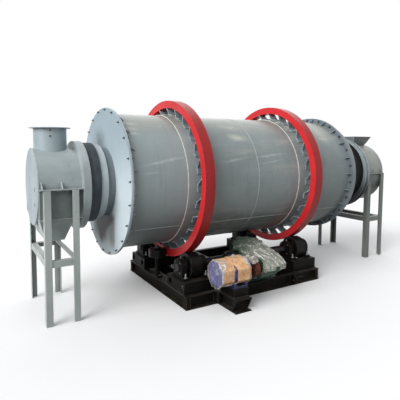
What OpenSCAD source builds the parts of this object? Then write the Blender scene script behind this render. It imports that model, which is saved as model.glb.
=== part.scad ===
/* [Drum] */
// Outer diameter of the drum shell
drum_d = 1500; // [1200:10:1800]
// Length of the drum shell
drum_len = 3182; // [2600:2:3900]
// Plate thickness of the drum shell
shell_t = 10; // [6:1:14]
// Height of the rim flanges above the shell
rim_h = 62; // [45:1:80]
// Thickness of the rim flanges and of the end plates bolted to them
rim_t = 14; // [10:1:20]
// Number of gussets behind each rim flange
gusset_count = 22; // [12:2:36]
// Length of a rim gusset along the shell
gusset_len = 66; // [40:1:90]
// How far the closing cap reaches past the feed end's rim flange
cap_len = 104; // [60:1:140]

/* [Tyres] */
// Distance between the two riding tyres, centre to centre
tyre_span = 1586; // [1300:2:1900]
// Width of a tyre
tyre_w = 118; // [90:1:150]
// Radial thickness of a tyre
tyre_t = 86; // [60:1:110]
// Width of the wear pad wrapped round the shell under a tyre
pad_w = 318; // [220:2:400]
// Thickness of the wear pad
pad_t = 12; // [8:1:16]
// Radial room between wear pad and tyre, bridged by the spring plates
spring_h = 84; // [60:1:110]
// Number of spring plates under a tyre
spring_count = 26; // [16:1:32]
// Thickness of a spring plate
spring_t = 12; // [8:1:16]

/* [Support rollers] */
// Diameter of a support roller
roller_d = 285; // [235:1:345]
// Width of a support roller
roller_w = 134; // [110:1:165]
// Angle of a support roller from the vertical, seen from the drum axis
roller_angle = 29.3; // [27:0.1:32]
// Diameter of the roller shafts in their bearings
shaft_d = 80; // [60:1:100]
// Height of the roller shafts above the pedestals
bearing_h = 122; // [105:1:140]
// Width of a bearing housing along the shaft
bearing_w = 70; // [50:1:80]
// Room between a roller and its bearing housings
bearing_gap = 28; // [20:1:40]

/* [Base frame] */
// Height of the base frame's channels
base_h = 143; // [120:1:180]
// Flange width of the channels
flange_w = 58; // [50:1:80]
// How far the base frame reaches past the roller shafts at each side
base_overhang = 261; // [240:1:320]
// Height of the roller pedestals
pedestal_h = 129; // [100:1:160]
// Width of a pedestal across the drum
pedestal_w = 405; // [370:1:440]
// Distance from the base frame's side to the pedestals
pedestal_set = 60; // [20:1:70]

/* [Drive] */
// Centre distance of the gear reducer's input and output shafts
reducer_centres = 415; // [350:1:450]
// Width of the gear reducer's housing
reducer_w = 240; // [200:1:280]
// Diameter of the motor's frame
motor_d = 274; // [240:1:290]
// Length of the motor's frame
motor_len = 360; // [320:1:440]
// Height of the motor's shaft above its feet
motor_h = 160; // [150:1:170]
// Thickness of the cardboard wrapped round the motor
card_t = 8; // [4:1:12]

/* [Discharge end] */
// Diameter of the drum's neck at the discharge end
out_neck_d = 756; // [620:2:800]
// How much further out than the neck the discharge hood's barrel lies
out_barrel_step = 13; // [9:1:60]
// Length of the discharge hood's barrel
out_barrel_len = 403; // [360:1:460]
// How far the casing ring round the discharge seal stands out from the barrel
out_casing_step = 76; // [60:1:120]
// Width of that casing ring
out_casing_w = 75; // [60:1:95]
// Distance from the drum's end plate to the discharge casing ring
out_gap = 275; // [250:1:320]
// Outer diameter of the round spout
spout_d = 326; // [260:2:360]
// Height of the spout's top above the hood's axis
spout_rise = 602; // [540:1:790]
// Height of the hopper's outlet above the floor
outlet_z = 785; // [640:1:900]

/* [Feed end] */
// Diameter of the drum's neck at the feed end
in_neck_d = 810; // [700:2:840]
// How much further out than the neck the feed hood's barrel lies
in_barrel_step = 45; // [20:1:80]
// Length of the feed hood's barrel
in_barrel_len = 450; // [420:1:520]
// How far the casing rings round the feed seal stand out from the barrel
in_casing_step = 90; // [70:1:130]
// Width of that casing ring
in_casing_w = 85; // [70:1:100]
// Distance from the drum's cap to the feed casing ring
in_gap = 531; // [480:1:600]
// Width of the square mouth of the feed hopper
mouth_w = 416; // [340:2:480]
// Height of the feed hopper's mouth above the hood's axis
mouth_rise = 575; // [520:1:740]

/* [Stands] */
// Leg width of the discharge stand's angle iron
out_angle_w = 63; // [50:1:63]
// Leg width of the feed stand's angle iron
in_angle_w = 70; // [50:1:80]
// Thickness of the angle iron
angle_t = 6; // [5:1:10]
// Height of the stands' brace ring
brace_z = 600; // [400:10:700]
// Sheet thickness of the hoods
sheet_t = 6; // [4:1:10]

/* [Hidden] */

// Clearance left where a curved face is seated on another piece
seat = 0.3;
// Radial running clearance of a shaft in its bore
running = 0.1;
$fn = 96;

// Drum and tyres
shell_r = drum_d / 2;
rim_r = shell_r + rim_h;
pad_r = shell_r + seat + pad_t;
tyre_in_r = pad_r + spring_h;
tyre_r = tyre_in_r + tyre_t;
roller_r = roller_d / 2;
roller_z = base_h + pedestal_h + bearing_h;
roll_reach = tyre_r + seat + roller_r;
roller_y = roll_reach * sin(roller_angle);
axis_z = roller_z + roll_reach * cos(roller_angle);
tyre_x = tyre_span / 2;
end_x = drum_len / 2;
out_face = -(end_x + rim_t);
cap_face = end_x + rim_t + cap_len;
cap_step = 15;
cap_t = 12;
neck_t = 8;
// The seal collar on each neck: its height, length and how far the rubber band laps it
collar_h = 34;
collar_len = 105;
collar_lap = 30;
// Width of the rubber bands between collar and casing, and their thickness
out_band_w = 85;
in_band_w = 70;
band_t = 16;
band_rim = 40;
neck_lap = 50;
// How far the first rim gusset is turned from the top, at the discharge end and at the feed end
gusset_turn = [12.2, 6.2];

// Base frame and what stands on it
bearing_x = roller_w / 2 + bearing_gap + bearing_w / 2;
pedestal_len = 2 * (bearing_x + bearing_w / 2 + 27);
pedestal_x = tyre_x + pedestal_len / 2;
pedestal_t = 12;
pedestal_top_t = 16;
pedestal_hole_r = 34;
pedestal_hole_h = 68;
// How far the two holes lie from the pedestal's front and back
pedestal_hole_in = [50, 76];
roller_room = 8;
base_x = pedestal_x + 10;
base_y = roller_y + base_overhang;
web_t = 7;
flange_t = 10;
stiffener_t = 8;
pedestal_z = base_h + pedestal_h;
pedestal_y = base_y - pedestal_set;
cross_x = pedestal_x - pedestal_len + flange_w / 2;

// Rollers and their bearings
roller_rim = 34;
roller_web = 36;
roller_hub_r = shaft_d / 2 + 30;
bearing_r = bearing_h - 26;
bearing_foot = 26;
shaft_end = 12;
cap_ring = 8;

// Thrust rollers beside the discharge tyre
thrust_r = 103;
thrust_len = 90;
thrust_z = axis_z - tyre_r - 10;
thrust_pin_r = 25;
thrust_collar_h = 20;
thrust_foot = [72, 150, 20];
thrust_boss_h = 26;

// Drive
coupling_r = 85;
reducer_y = -roller_y;
input_y = -roller_y - reducer_centres;
motor_spigot = 22;
motor_x1 = -reducer_w / 2 - 254;
motor_x0 = motor_x1 - motor_len;
motor_r = motor_d / 2;
motor_foot_z = roller_z - motor_h;
motor_mid = (motor_x0 + motor_x1) / 2;
// The motor's feet lie nearer to its shaft end
motor_foot_x = motor_mid + 70;
stool_in = 23;
outrigger_w = 205;
outrigger_x0 = motor_foot_x - (outrigger_w + stool_in) / 2;
outrigger_x1 = outrigger_x0 + outrigger_w;
outrigger_y = input_y - 184;
// How far the outrigger's end web stands back from its flanges
outrigger_set = 70;
stool_set = 65;
stool_top_t = 14;
stool_wall_t = 10;
input_shaft_r = 19;
reducer_boss = 22;
// Places of the lifting lugs along the frame, either side of the drum's heavier drive side
lug_places = [-base_x + 387, base_x - 450];
lug_r = 60;
lug_t = 16;
lug_hole_r = 22;
lug_hole_out = 22;

// Hoods: both hang on their own axis, a little below the drum's
hood_drop = 22;
hood_z = axis_z - hood_drop;
split_t = 6;
out_barrel_r = out_neck_d / 2 + out_barrel_step;
out_casing_r = out_barrel_r + out_casing_step;
casing_hole_gap = 16;
casing_t = 8;
out_x1 = out_face - out_gap - out_casing_w;
out_x0 = out_x1 - out_barrel_len;
hood_plate_t = 8;
box_h = 284;
box_z = hood_z - split_t - box_h;
out_flange_y = out_barrel_r + 64;
out_hopper_x0 = out_x0 + 83;
out_hopper_x1 = out_x1 - 148;
out_hopper_top = out_x1 - 81;
out_hopper_y = out_barrel_r - 142;
spy_x = -180;
spy_w = 34;
spy_h = 40;
spy_drops = [15, 163];
gusset_t = 10;
gusset_h = 64;
out_gussets = [out_x0 + 22, out_x0 + 204];
in_barrel_r = in_neck_d / 2 + in_barrel_step;
in_casing_r = in_barrel_r + in_casing_step;
in_x0 = cap_face + in_gap + in_casing_w;
in_x1 = in_x0 + in_barrel_len;
in_gussets = [in_x0 + 215, in_x1 - 45];
in_flange_x0 = in_x0 + 70;
in_flange_y = in_barrel_r + 25;
spout_x = out_x0 + 185;
spout_top = hood_z + spout_rise;
spout_rim = 42;
spout_rim_t = 8;
spout_bolt_r = 7;
mouth_x = in_x0 + 260;
mouth_z = hood_z + mouth_rise;
mouth_h = 190;
mouth_taper = 98;
throat = mouth_w / 2 - mouth_taper;

// A round bar along X
module xbar(x0, x1, r, y = 0, z = axis_z) {
    translate([x0, y, z]) rotate([0, 90, 0]) cylinder(h = x1 - x0, r = r);
}

// A round tube along X
module xtube(x0, x1, r_out, r_in, y = 0, z = axis_z) {
    difference() {
        xbar(x0, x1, r_out, y, z);
        xbar(x0 - 1, x1 + 1, r_in, y, z);
    }
}

// A profile of [radius, x] points turned round an axis along X
module xturn(y = 0, z = axis_z) {
    translate([0, y, z]) rotate([0, 90, 0]) rotate_extrude() children();
}

// A block given by its two corners
module block(a, b) {
    translate(a) cube(b - a);
}

// A section in the Y-Z plane, drawn out along X
module along_x(x0, x1) {
    translate([x0, 0, 0]) rotate([90, 0, 90]) linear_extrude(x1 - x0) children();
}

// A section in the X-Z plane, drawn out along Y
module along_y(y0, y1) {
    translate([0, y1, 0]) rotate([90, 0, 0]) linear_extrude(y1 - y0) children();
}

// Section of a channel: web at 0, flanges towards +X, standing on the floor
module channel_section() {
    square([web_t, base_h]);
    square([flange_w, flange_t]);
    translate([0, base_h - flange_t]) square([flange_w, flange_t]);
}

// Section of an I-beam centred on 0
module beam_section() {
    translate([-web_t / 2, 0]) square([web_t, base_h]);
    translate([-flange_w / 2, 0]) square([flange_w, flange_t]);
    translate([-flange_w / 2, base_h - flange_t]) square([flange_w, flange_t]);
}

// ---------- Drum ----------

module drum_shell() {
    color("slategray") xtube(-end_x, end_x, shell_r, shell_r - shell_t);
}

// A ring round the shell's end at x = 0, with gussets reaching towards +X
module rim_flange(turn) {
    r0 = shell_r + seat;
    gusset_plate = 10;
    // The ring is turned by half a pitch, so that its seam lies between two gussets
    translate([0, 0, axis_z]) rotate([turn + 180 / gusset_count, 0, 0])
        xtube(0, rim_t, rim_r, r0, 0, 0);
    for (i = [0 : gusset_count - 1])
        translate([rim_t - 0.5, 0, axis_z]) rotate([turn + i * 360 / gusset_count, 0, 0])
            translate([0, gusset_plate / 2, 0]) rotate([90, 0, 0]) linear_extrude(gusset_plate)
                polygon([[0, r0], [gusset_len, r0], [gusset_len, r0 + 8],
                         [4, rim_r - 6], [0, rim_r - 6]]);
}

module discharge_rim_flange() {
    color("slategray") translate([-end_x, 0, 0]) rim_flange(gusset_turn[0]);
}

module feed_rim_flange() {
    color("slategray") translate([end_x, 0, 0]) mirror([1, 0, 0]) rim_flange(gusset_turn[1]);
}

module discharge_end_plate() {
    color("lightsteelblue") xtube(out_face, -end_x, rim_r, out_neck_d / 2 - neck_t);
}

module feed_end_cap() {
    r_in = in_neck_d / 2 - neck_t;
    r_cap = shell_r + cap_step;
    color("slategray") xturn()
        polygon([[r_cap - shell_t, end_x], [rim_r, end_x], [rim_r, end_x + rim_t],
                 [r_cap, end_x + rim_t], [r_cap, cap_face], [r_in, cap_face],
                 [r_in, cap_face - cap_t], [r_cap - shell_t, cap_face - cap_t]]);
}

// A neck tube from x = 0 to x = len, with the seal's collar ending at collar_x
module neck(r, len, collar_x) {
    c0 = collar_x - collar_len;
    xturn() polygon([[r - neck_t, 0], [r, 0], [r, c0], [r + collar_h, c0], [r + collar_h, collar_x],
                     [r + collar_h - neck_t, collar_x], [r + collar_h - neck_t, c0 + 10],
                     [r, c0 + 10], [r, len], [r - neck_t, len]]);
}

module discharge_neck() {
    color("lightgray") translate([out_face, 0, 0]) mirror([1, 0, 0])
        neck(out_neck_d / 2, out_gap + neck_lap, out_gap - out_band_w);
}

module feed_neck() {
    color("dimgray") translate([cap_face, 0, 0]) neck(in_neck_d / 2, in_gap + neck_lap, in_gap - in_band_w);
}

// ---------- Tyres ----------

module tyre_pads() {
    color("slategray") for (s = [-1, 1])
        xtube(s * tyre_x - pad_w / 2, s * tyre_x + pad_w / 2, pad_r, shell_r + seat);
}

module tyre(x) {
    color("red") xtube(x - tyre_w / 2, x + tyre_w / 2, tyre_r, tyre_in_r);
}

// Bent plates that carry the tyre: a foot on the wear pad and a leg up to the tyre
module tyre_springs(x) {
    lean = 66;
    foot = 64;
    foot_r = pad_r + seat + spring_t;
    // How far the row of plates is turned from the top of the tyre
    turn = 3;
    color("gray") intersection() {
        // Rounder than the other tubes, because a plate is thin beside the tube's facets
        xtube(x - tyre_w / 2, x + tyre_w / 2, tyre_in_r - seat, pad_r + seat, $fn = 2 * $fn);
        for (i = [0 : spring_count - 1])
            translate([0, 0, axis_z]) rotate([turn + i * 360 / spring_count, 0, 0])
                along_x(x - tyre_w / 2, x + tyre_w / 2)
                    polygon([[0, tyre_in_r + 5], [spring_t, tyre_in_r + 5],
                             [spring_t - lean, foot_r - 3], [spring_t - lean, pad_r - 8],
                             [-lean - foot, pad_r - 14], [-lean - foot, foot_r - 6],
                             [-lean, foot_r - 3]]);
    }
}

// ---------- Support rollers and drive shaft ----------

// Outline of a roller's hub, web and rim as [radius, x] points, from end to end
wheel_outline = let(w = roller_w / 2, t = roller_web / 2, r = roller_r - roller_rim, hub = roller_hub_r)
    [[hub, -w], [hub, -t], [r, -t], [r, -w], [roller_r, -w],
     [roller_r, w], [r, w], [r, t], [hub, t], [hub, w]];

// A roller bored for its shaft
module roller_wheel(x, y, bore_r) {
    color("dimgray") translate([x, 0, 0]) xturn(y, roller_z)
        polygon([[bore_r, -roller_w / 2], each wheel_outline, [bore_r, roller_w / 2]]);
}

module front_roller(x) {
    roller_wheel(x, -roller_y, shaft_d / 2 + seat);
}

module drive_shaft() {
    reach = tyre_x + bearing_x + bearing_w / 2 + shaft_end;
    inner = tyre_x - bearing_x - bearing_w / 2 - cap_ring - 5;
    coupling_x = reducer_w / 2 + 110;
    half_coupling = 70;
    color("darkslategray") {
        xbar(-reach, reach, shaft_d / 2, -roller_y, roller_z);
        for (s = [-1, 1]) {
            xbar(min(s * coupling_x, s * inner), max(s * coupling_x, s * inner),
                 shaft_d / 2 + 8, -roller_y, roller_z);
            xbar(s * coupling_x - half_coupling, s * coupling_x + half_coupling,
                 coupling_r, -roller_y, roller_z);
        }
    }
}

module rear_roller(x) {
    reach = bearing_x + bearing_w / 2 + shaft_end;
    w = roller_w / 2;
    s = shaft_d / 2;
    color("dimgray") translate([x, 0, 0]) xturn(roller_y, roller_z)
        polygon([[0, -reach], [s, -reach], [s, -w], each wheel_outline, [s, w],
                 [s, reach], [0, reach]]);
}

// Where a bearing housing stands: [x, y]
bearing_places = [for (sx = [-1, 1], sy = [-1, 1], e = [-1, 1])
    [sx * tyre_x + e * bearing_x, sy * roller_y]];

module bearing_housing() {
    foot = bearing_r + 40;
    difference() {
        union() {
            along_x(-bearing_w / 2, bearing_w / 2) {
                translate([-bearing_r, -bearing_h]) square([2 * bearing_r, bearing_h]);
                translate([-foot, -bearing_h]) square([2 * foot, bearing_foot]);
            }
            xbar(-bearing_w / 2, bearing_w / 2, bearing_r, 0, 0);
            xbar(-bearing_w / 2 - cap_ring, bearing_w / 2 + cap_ring, shaft_d / 2 + 22, 0, 0);
        }
        xbar(-bearing_w, bearing_w, shaft_d / 2 + running, 0, 0);
    }
}

module roller_bearings() {
    color("dimgray") for (p = bearing_places)
        translate([p[0], p[1], roller_z]) bearing_housing();
}

// A thrust roller runs on a pin along Z beside the tyre; side is -1 or 1
module thrust_roller(side) {
    x = -tyre_x + side * (tyre_w / 2 + seat + thrust_r);
    color("dimgray") translate([x, 0, thrust_z]) difference() {
        cylinder(h = thrust_len, r = thrust_r);
        translate([0, 0, -1]) cylinder(h = thrust_len + 2, r = thrust_pin_r + running);
    }
}

module thrust_posts() {
    color("dimgray") for (side = [-1, 1]) {
        x = -tyre_x + side * (tyre_w / 2 + seat + thrust_r);
        foot_top = base_h + thrust_foot[2];
        block([x - thrust_foot[0] / 2, -thrust_foot[1] / 2, base_h],
              [x + thrust_foot[0] / 2, thrust_foot[1] / 2, foot_top]);
        translate([x, 0, foot_top - 1]) cylinder(h = thrust_boss_h + 1, r = thrust_pin_r + 10);
        translate([x, 0, foot_top])
            cylinder(h = thrust_z + thrust_len + shaft_end - foot_top, r = thrust_pin_r);
        translate([x, 0, thrust_z - thrust_collar_h])
            cylinder(h = thrust_collar_h - seat, r = thrust_pin_r + 14);
    }
}

// ---------- Base frame ----------

// A channel along X whose toes reach out to y on the -Y side
module front_channel(x0, x1, y) {
    along_x(x0, x1) translate([y + flange_w, 0]) mirror([1, 0]) channel_section();
}

module end_channel() {
    along_y(-base_y, base_y) translate([-base_x + flange_w, 0]) mirror([1, 0]) channel_section();
}

module base_frame() {
    stiff = flange_w - 6;
    stiff_in = 10;
    inset = flange_w / 2 + 2;
    color("#1c1c1c") {
        for (s = [0, 1]) {
            mirror([0, s, 0]) front_channel(-base_x, base_x, -base_y);
            mirror([s, 0, 0]) end_channel();
        }
        for (x = [-cross_x, 0, cross_x])
            along_y(-base_y + flange_w - 1, base_y - flange_w + 1)
                translate([x, 0]) beam_section();
        // Plates that close the corners between the channels' toes
        for (sx = [-1, 1], sy = [-1, 1]) {
            translate([sx * (base_x - inset) - stiff / 2, sy * (base_y - stiff_in) - stiffener_t / 2, 1])
                cube([stiff, stiffener_t, base_h - 2]);
            translate([sx * (base_x - stiff_in) - stiffener_t / 2, sy * (base_y - inset) - stiff / 2, 1])
                cube([stiffener_t, stiff, base_h - 2]);
        }
    }
}

module lifting_lugs() {
    // A lug starts at the outer face of the channel's web
    y0 = base_y - flange_w + web_t;
    color("#1c1c1c") for (x = lug_places, sy = [-1, 1])
        translate([x - lug_t / 2, 0, base_h / 2]) difference() {
            union() {
                xbar(0, lug_t, lug_r, sy * base_y, 0);
                block([0, min(0, sy * base_y), -lug_r], [lug_t, max(0, sy * base_y), lug_r]);
            }
            xbar(-1, lug_t + 1, lug_hole_r, sy * (base_y + lug_hole_out), 0);
            block([-1, -y0, -base_h], [lug_t + 1, y0, base_h]);
        }
}

// Two channels that reach out under the motor, with a web set back from their ends
module outrigger() {
    y1 = -base_y;
    y0 = outrigger_y;
    web_y = y0 + outrigger_set;
    color("#1c1c1c") {
        along_y(web_y, y1) {
            translate([outrigger_x0 + flange_w, 0]) mirror([1, 0]) channel_section();
            translate([outrigger_x1 - flange_w, 0]) channel_section();
        }
        // Top and bottom plates run on past the web, on a gusset at each side
        for (z = [0, base_h - flange_t])
            block([outrigger_x0, y0, z], [outrigger_x1, web_y + 1, z + flange_t]);
        block([outrigger_x0, web_y, 1], [outrigger_x1, web_y + web_t, base_h - 1]);
        for (x = [outrigger_x0, outrigger_x1 - web_t])
            along_x(x, x + web_t)
                polygon([[web_y + 1, flange_t - 1], [web_y + 1, base_h - 1], [y0 + 2, base_h - 1],
                         [y0 + 2, base_h - flange_t - 4], [web_y - 6, flange_t - 1]]);
        block([outrigger_x0 + flange_w - 1, web_y, base_h - flange_t],
              [outrigger_x1 - flange_w + 1, y1, base_h]);
    }
}

// A box on the outrigger with a top plate for the motor's feet
module motor_stool() {
    x0 = outrigger_x0 + stool_in;
    x1 = outrigger_x1;
    y0 = outrigger_y + stool_set;
    y1 = -base_y - 20;
    z1 = motor_foot_z - stool_top_t;
    w = stool_wall_t;
    color("#1c1c1c") {
        block([x0 - 4, y0 - 4, z1], [x1 + 4, y1 + 4, motor_foot_z]);
        difference() {
            block([x0, y0, base_h], [x1, y1, z1 + 1]);
            block([x0 + w, y0 + w, base_h - 1], [x1 - w, y1 - w, z1]);
        }
    }
}

// Fabricated boxes under the support rollers, with two round holes in the outer end
module pedestals() {
    t = pedestal_t;
    // Slot in the top plate that the roller dips into
    dip = max(0, pow(roller_r + roller_room, 2) - pow(bearing_h, 2));
    slot_x = roller_w / 2 + roller_room;
    slot_y = sqrt(dip) + roller_room;
    color("#1c1c1c") for (sx = [-1, 1], sy = [-1, 1])
        mirror([sx < 0 ? 1 : 0, 0, 0]) mirror([0, sy < 0 ? 1 : 0, 0]) difference() {
            block([pedestal_x - pedestal_len, pedestal_y - pedestal_w, base_h],
                  [pedestal_x, pedestal_y, pedestal_z]);
            block([pedestal_x - pedestal_len + t, pedestal_y - pedestal_w + t, base_h - 1],
                  [pedestal_x - t, pedestal_y - t, pedestal_z - pedestal_top_t]);
            block([tyre_x - slot_x, roller_y - slot_y, pedestal_z - 2 * pedestal_top_t],
                  [tyre_x + slot_x, roller_y + slot_y, pedestal_z + 1]);
            for (y = [pedestal_hole_in[0], pedestal_w - pedestal_hole_in[1]])
                xbar(pedestal_x - 2 * t, pedestal_x + 1, pedestal_hole_r, pedestal_y - y,
                     base_h + pedestal_hole_h);
        }
}

// ---------- Drive ----------

module gear_reducer() {
    big_r = 188;
    small_r = 100;
    // How far the joint flange reaches past the input shaft
    nose = 130;
    foot_t = 24;
    foot_out = 34;
    // How far the foot stays behind the base frame's side
    foot_set = 44;
    joint_t = 32;
    joint_out = 12;
    boss_out = 28;
    cover = [140, 200, 80];
    // Angle of the cover's sloping top
    slope = asin((big_r - small_r) / reducer_centres);
    x1 = reducer_w / 2;
    c = cos(slope);
    s = sin(slope);
    color("seagreen") difference() {
        union() {
            xbar(-x1, x1, big_r, reducer_y, roller_z);
            xbar(-x1, x1, small_r, input_y, roller_z);
            along_x(-x1, x1)
                polygon([[reducer_y - big_r * s, roller_z + big_r * c],
                         [input_y - small_r * s, roller_z + small_r * c],
                         [input_y - small_r, roller_z], [input_y + 16, base_h + 108],
                         [input_y + 80, base_h + 60], [-base_y + foot_set, base_h + foot_t],
                         [reducer_y + 170, base_h + foot_t],
                         [reducer_y + big_r - 4, roller_z]]);
            // Joint flange of the two halves and the foot flange
            block([-x1 - joint_out, input_y - nose, roller_z - joint_t / 2],
                  [x1 + joint_out, reducer_y + big_r + 30, roller_z + joint_t / 2]);
            block([-x1 - foot_out, -base_y + foot_set, base_h],
                  [x1 + foot_out, reducer_y + big_r, base_h + foot_t]);
            xbar(-x1 - boss_out, x1 + boss_out, 82, reducer_y, roller_z);
            xbar(-x1 - reducer_boss, x1 + reducer_boss, 58, input_y, roller_z);
            // Inspection cover
            translate([-cover[0] / 2, reducer_y - 130, roller_z + 120]) cube(cover);
        }
        xbar(-x1 - 60, x1 + 60, shaft_d / 2 + running, reducer_y, roller_z);
        xbar(-x1 - 60, -x1 + 60, input_shaft_r + running, input_y, roller_z);
    }
}

module motor() {
    foot_w = 108;
    foot_len = 180;
    foot_gap = 110;
    foot_h = 60;
    color("royalblue") {
        xbar(motor_x0, motor_x1, motor_r, input_y, roller_z);
        xbar(motor_x1 - 1, motor_x1 + motor_spigot, 0.7 * motor_r, input_y, roller_z);
        difference() {
            block([motor_foot_x - foot_len / 2, input_y - foot_w, motor_foot_z],
                  [motor_foot_x + foot_len / 2, input_y + foot_w, motor_foot_z + foot_h]);
            block([motor_foot_x - foot_gap / 2, input_y - foot_w - 1, motor_foot_z + 24],
                  [motor_foot_x + foot_gap / 2, input_y + foot_w + 1, motor_foot_z + foot_h + 1]);
        }
    }
}

// Two lengths of cardboard round the motor, open below for its feet
module motor_card_wraps() {
    gap = 44;
    gap_x = motor_mid - 16;
    open_y = 112;
    open_z = 60;
    color("burlywood") for (ends = [[motor_x0 + 2, gap_x - gap / 2], [gap_x + gap / 2, motor_x1 - 2]])
        difference() {
            xtube(ends[0], ends[1], motor_r + seat + card_t, motor_r + seat, input_y, roller_z);
            block([ends[0] - 1, input_y - open_y, roller_z - motor_r - 2 * card_t],
                  [ends[1] + 1, input_y + open_y, roller_z - open_z]);
        }
}

module motor_coupling() {
    x0 = motor_x1 + motor_spigot + seat;
    mid = -reducer_w / 2 - 120;
    hub_r = 48;
    disc_r = 105;
    disc_w = 27;
    color("saddlebrown") {
        xbar(x0, -reducer_w / 2 + 30, input_shaft_r, input_y, roller_z);
        xbar(mid - 50, mid + 50, hub_r, input_y, roller_z);
        xbar(mid - disc_w, mid + disc_w, disc_r, input_y, roller_z);
    }
}

// ---------- Discharge hood ----------

module discharge_hood_plate() {
    color("lightsteelblue") difference() {
        xbar(out_x0 - hood_plate_t, out_x0, out_barrel_r, 0, hood_z);
        for (drop = spy_drops)
            block([out_x0 - 20, spy_x - spy_w / 2, hood_z - drop - spy_h / 2],
                  [out_x0 + 20, spy_x + spy_w / 2, hood_z - drop + spy_h / 2]);
    }
}

// Gusset standing on a split flange, against a barrel of radius r
module hood_gusset(x, side, r, y_out) {
    z0 = hood_z + split_t;
    mirror([0, side < 0 ? 1 : 0, 0]) difference() {
        along_x(x - gusset_t / 2, x + gusset_t / 2)
            polygon([[r - 30, z0 - 1], [y_out, z0 - 1], [y_out, z0 + 4],
                     [r + 6, z0 + gusset_h], [r - 30, z0 + gusset_h]]);
        xbar(x - gusset_t, x + gusset_t, r - 2, 0, hood_z);
    }
}

module discharge_hood_cover() {
    r = out_barrel_r;
    color("slategray") difference() {
        union() {
            difference() {
                xtube(out_x0, out_x1, r, r - sheet_t, 0, hood_z);
                block([out_x0 - 1, -r - 1, hood_z - r - 1], [out_x1 + 1, r + 1, hood_z]);
            }
            for (s = [-1, 1]) {
                block([out_x0, min(s * (r - sheet_t), s * out_flange_y), hood_z],
                      [out_x1, max(s * (r - sheet_t), s * out_flange_y), hood_z + split_t]);
                for (x = out_gussets) hood_gusset(x, s, r, out_flange_y);
            }
        }
        translate([spout_x, 0, hood_z]) cylinder(h = r + 1, r = spout_d / 2 - sheet_t);
    }
}

module discharge_hood_box() {
    r = out_barrel_r;
    z1 = hood_z - split_t;
    color("slategray") difference() {
        union() {
            difference() {
                block([out_x0, -r, box_z], [out_x1, r, hood_z]);
                block([out_x0 + sheet_t, -r + sheet_t, box_z + sheet_t],
                      [out_x1 - sheet_t, r - sheet_t, hood_z + 1]);
                // The way down into the hopper
                block([out_x0 + sheet_t, -r + sheet_t, box_z - 1],
                      [out_hopper_top - sheet_t, r - sheet_t, hood_z]);
            }
            for (s = [-1, 1])
                block([out_x0, min(s * (r - 1), s * out_flange_y), z1],
                      [out_x1, max(s * (r - 1), s * out_flange_y), hood_z]);
        }
        xbar(out_x1 - 2 * sheet_t, out_x1 + 1, r - sheet_t, 0, hood_z);
    }
}

// A funnel of sheet between two rectangles given as [x0, x1, half width, z]
module funnel(top, bottom, t) {
    difference() {
        hull() {
            translate([top[0], -top[2], top[3] - 0.5]) cube([top[1] - top[0], 2 * top[2], 0.5]);
            translate([bottom[0], -bottom[2], bottom[3]])
                cube([bottom[1] - bottom[0], 2 * bottom[2], 0.5]);
        }
        hull() {
            translate([top[0] + t, -top[2] + t, top[3]])
                cube([top[1] - top[0] - 2 * t, 2 * (top[2] - t), 0.5]);
            translate([bottom[0] + t, -bottom[2] + t, bottom[3] - 0.5])
                cube([bottom[1] - bottom[0] - 2 * t, 2 * (bottom[2] - t), 0.5]);
        }
    }
}

module discharge_hopper() {
    color("slategray") funnel([out_x0, out_hopper_top, out_barrel_r, box_z],
                              [out_hopper_x0, out_hopper_x1, out_hopper_y, outlet_z], sheet_t);
}

module discharge_spout() {
    r = spout_d / 2;
    color("slategray") difference() {
        union() {
            translate([spout_x, 0, hood_z]) cylinder(h = spout_top - hood_z, r = r);
            translate([spout_x, 0, spout_top - spout_rim_t]) cylinder(h = spout_rim_t, r = r + spout_rim);
        }
        translate([spout_x, 0, hood_z - 1]) cylinder(h = spout_top - hood_z + 2, r = r - sheet_t);
        xbar(out_x0 - r, out_x1 + r, out_barrel_r + seat, 0, hood_z);
        for (i = [0 : 11])
            translate([spout_x, 0, spout_top - 2 * spout_rim_t]) rotate([0, 0, i * 30 + 15])
                translate([r + spout_rim / 2 + 1, 0, 0]) cylinder(h = 4 * spout_rim_t, r = spout_bolt_r);
    }
}

module discharge_seal_casing() {
    x0 = out_x1;
    x1 = out_x1 + out_casing_w;
    t = casing_t;
    color("lightgray") difference() {
        xbar(x0, x1, out_casing_r, 0, hood_z);
        xbar(x0 + t, x1 - t, out_casing_r - t, 0, hood_z);
        xbar(x0 - 1, x0 + t + 1, out_barrel_r - sheet_t, 0, hood_z);
        xbar(x1 - t - 1, x1 + 1, out_neck_d / 2 + casing_hole_gap);
    }
}

module discharge_seal_band() {
    r = out_neck_d / 2 + collar_h + seat;
    x0 = out_face - out_gap;
    color("#202020") xtube(x0, x0 + out_band_w + collar_lap, r + band_t, r);
}

// Four legs of angle iron with a brace ring
module stand(x0, x1, y, z1, w) {
    t = angle_t;
    for (sx = [0, 1], sy = [0, 1])
        translate([(x0 + x1) / 2, 0, 0]) mirror([sx, 0, 0]) mirror([0, sy, 0])
            translate([-(x1 - x0) / 2, -y, 0]) {
                cube([w, t, z1]);
                cube([t, w, z1]);
            }
    // Brace ring: angle iron with one leg upright and one lying inwards
    difference() {
        block([x0 + t, -y + t, brace_z - w / 2], [x1 - t, y - t, brace_z + w / 2]);
        block([x0 + 2 * t, -y + 2 * t, brace_z - w], [x1 - 2 * t, y - 2 * t, brace_z + w / 2 - t]);
        block([x0 + w, -y + w, brace_z - w], [x1 - w, y - w, brace_z + w]);
    }
}

module discharge_stand() {
    color("slategray")
        stand(out_x0 + 31, out_x1 - 48, out_flange_y, hood_z - split_t, out_angle_w);
}

// ---------- Feed hood ----------

module feed_hood_plate() {
    color("slategray") xbar(in_x1, in_x1 + hood_plate_t, in_barrel_r, 0, hood_z);
}

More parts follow.
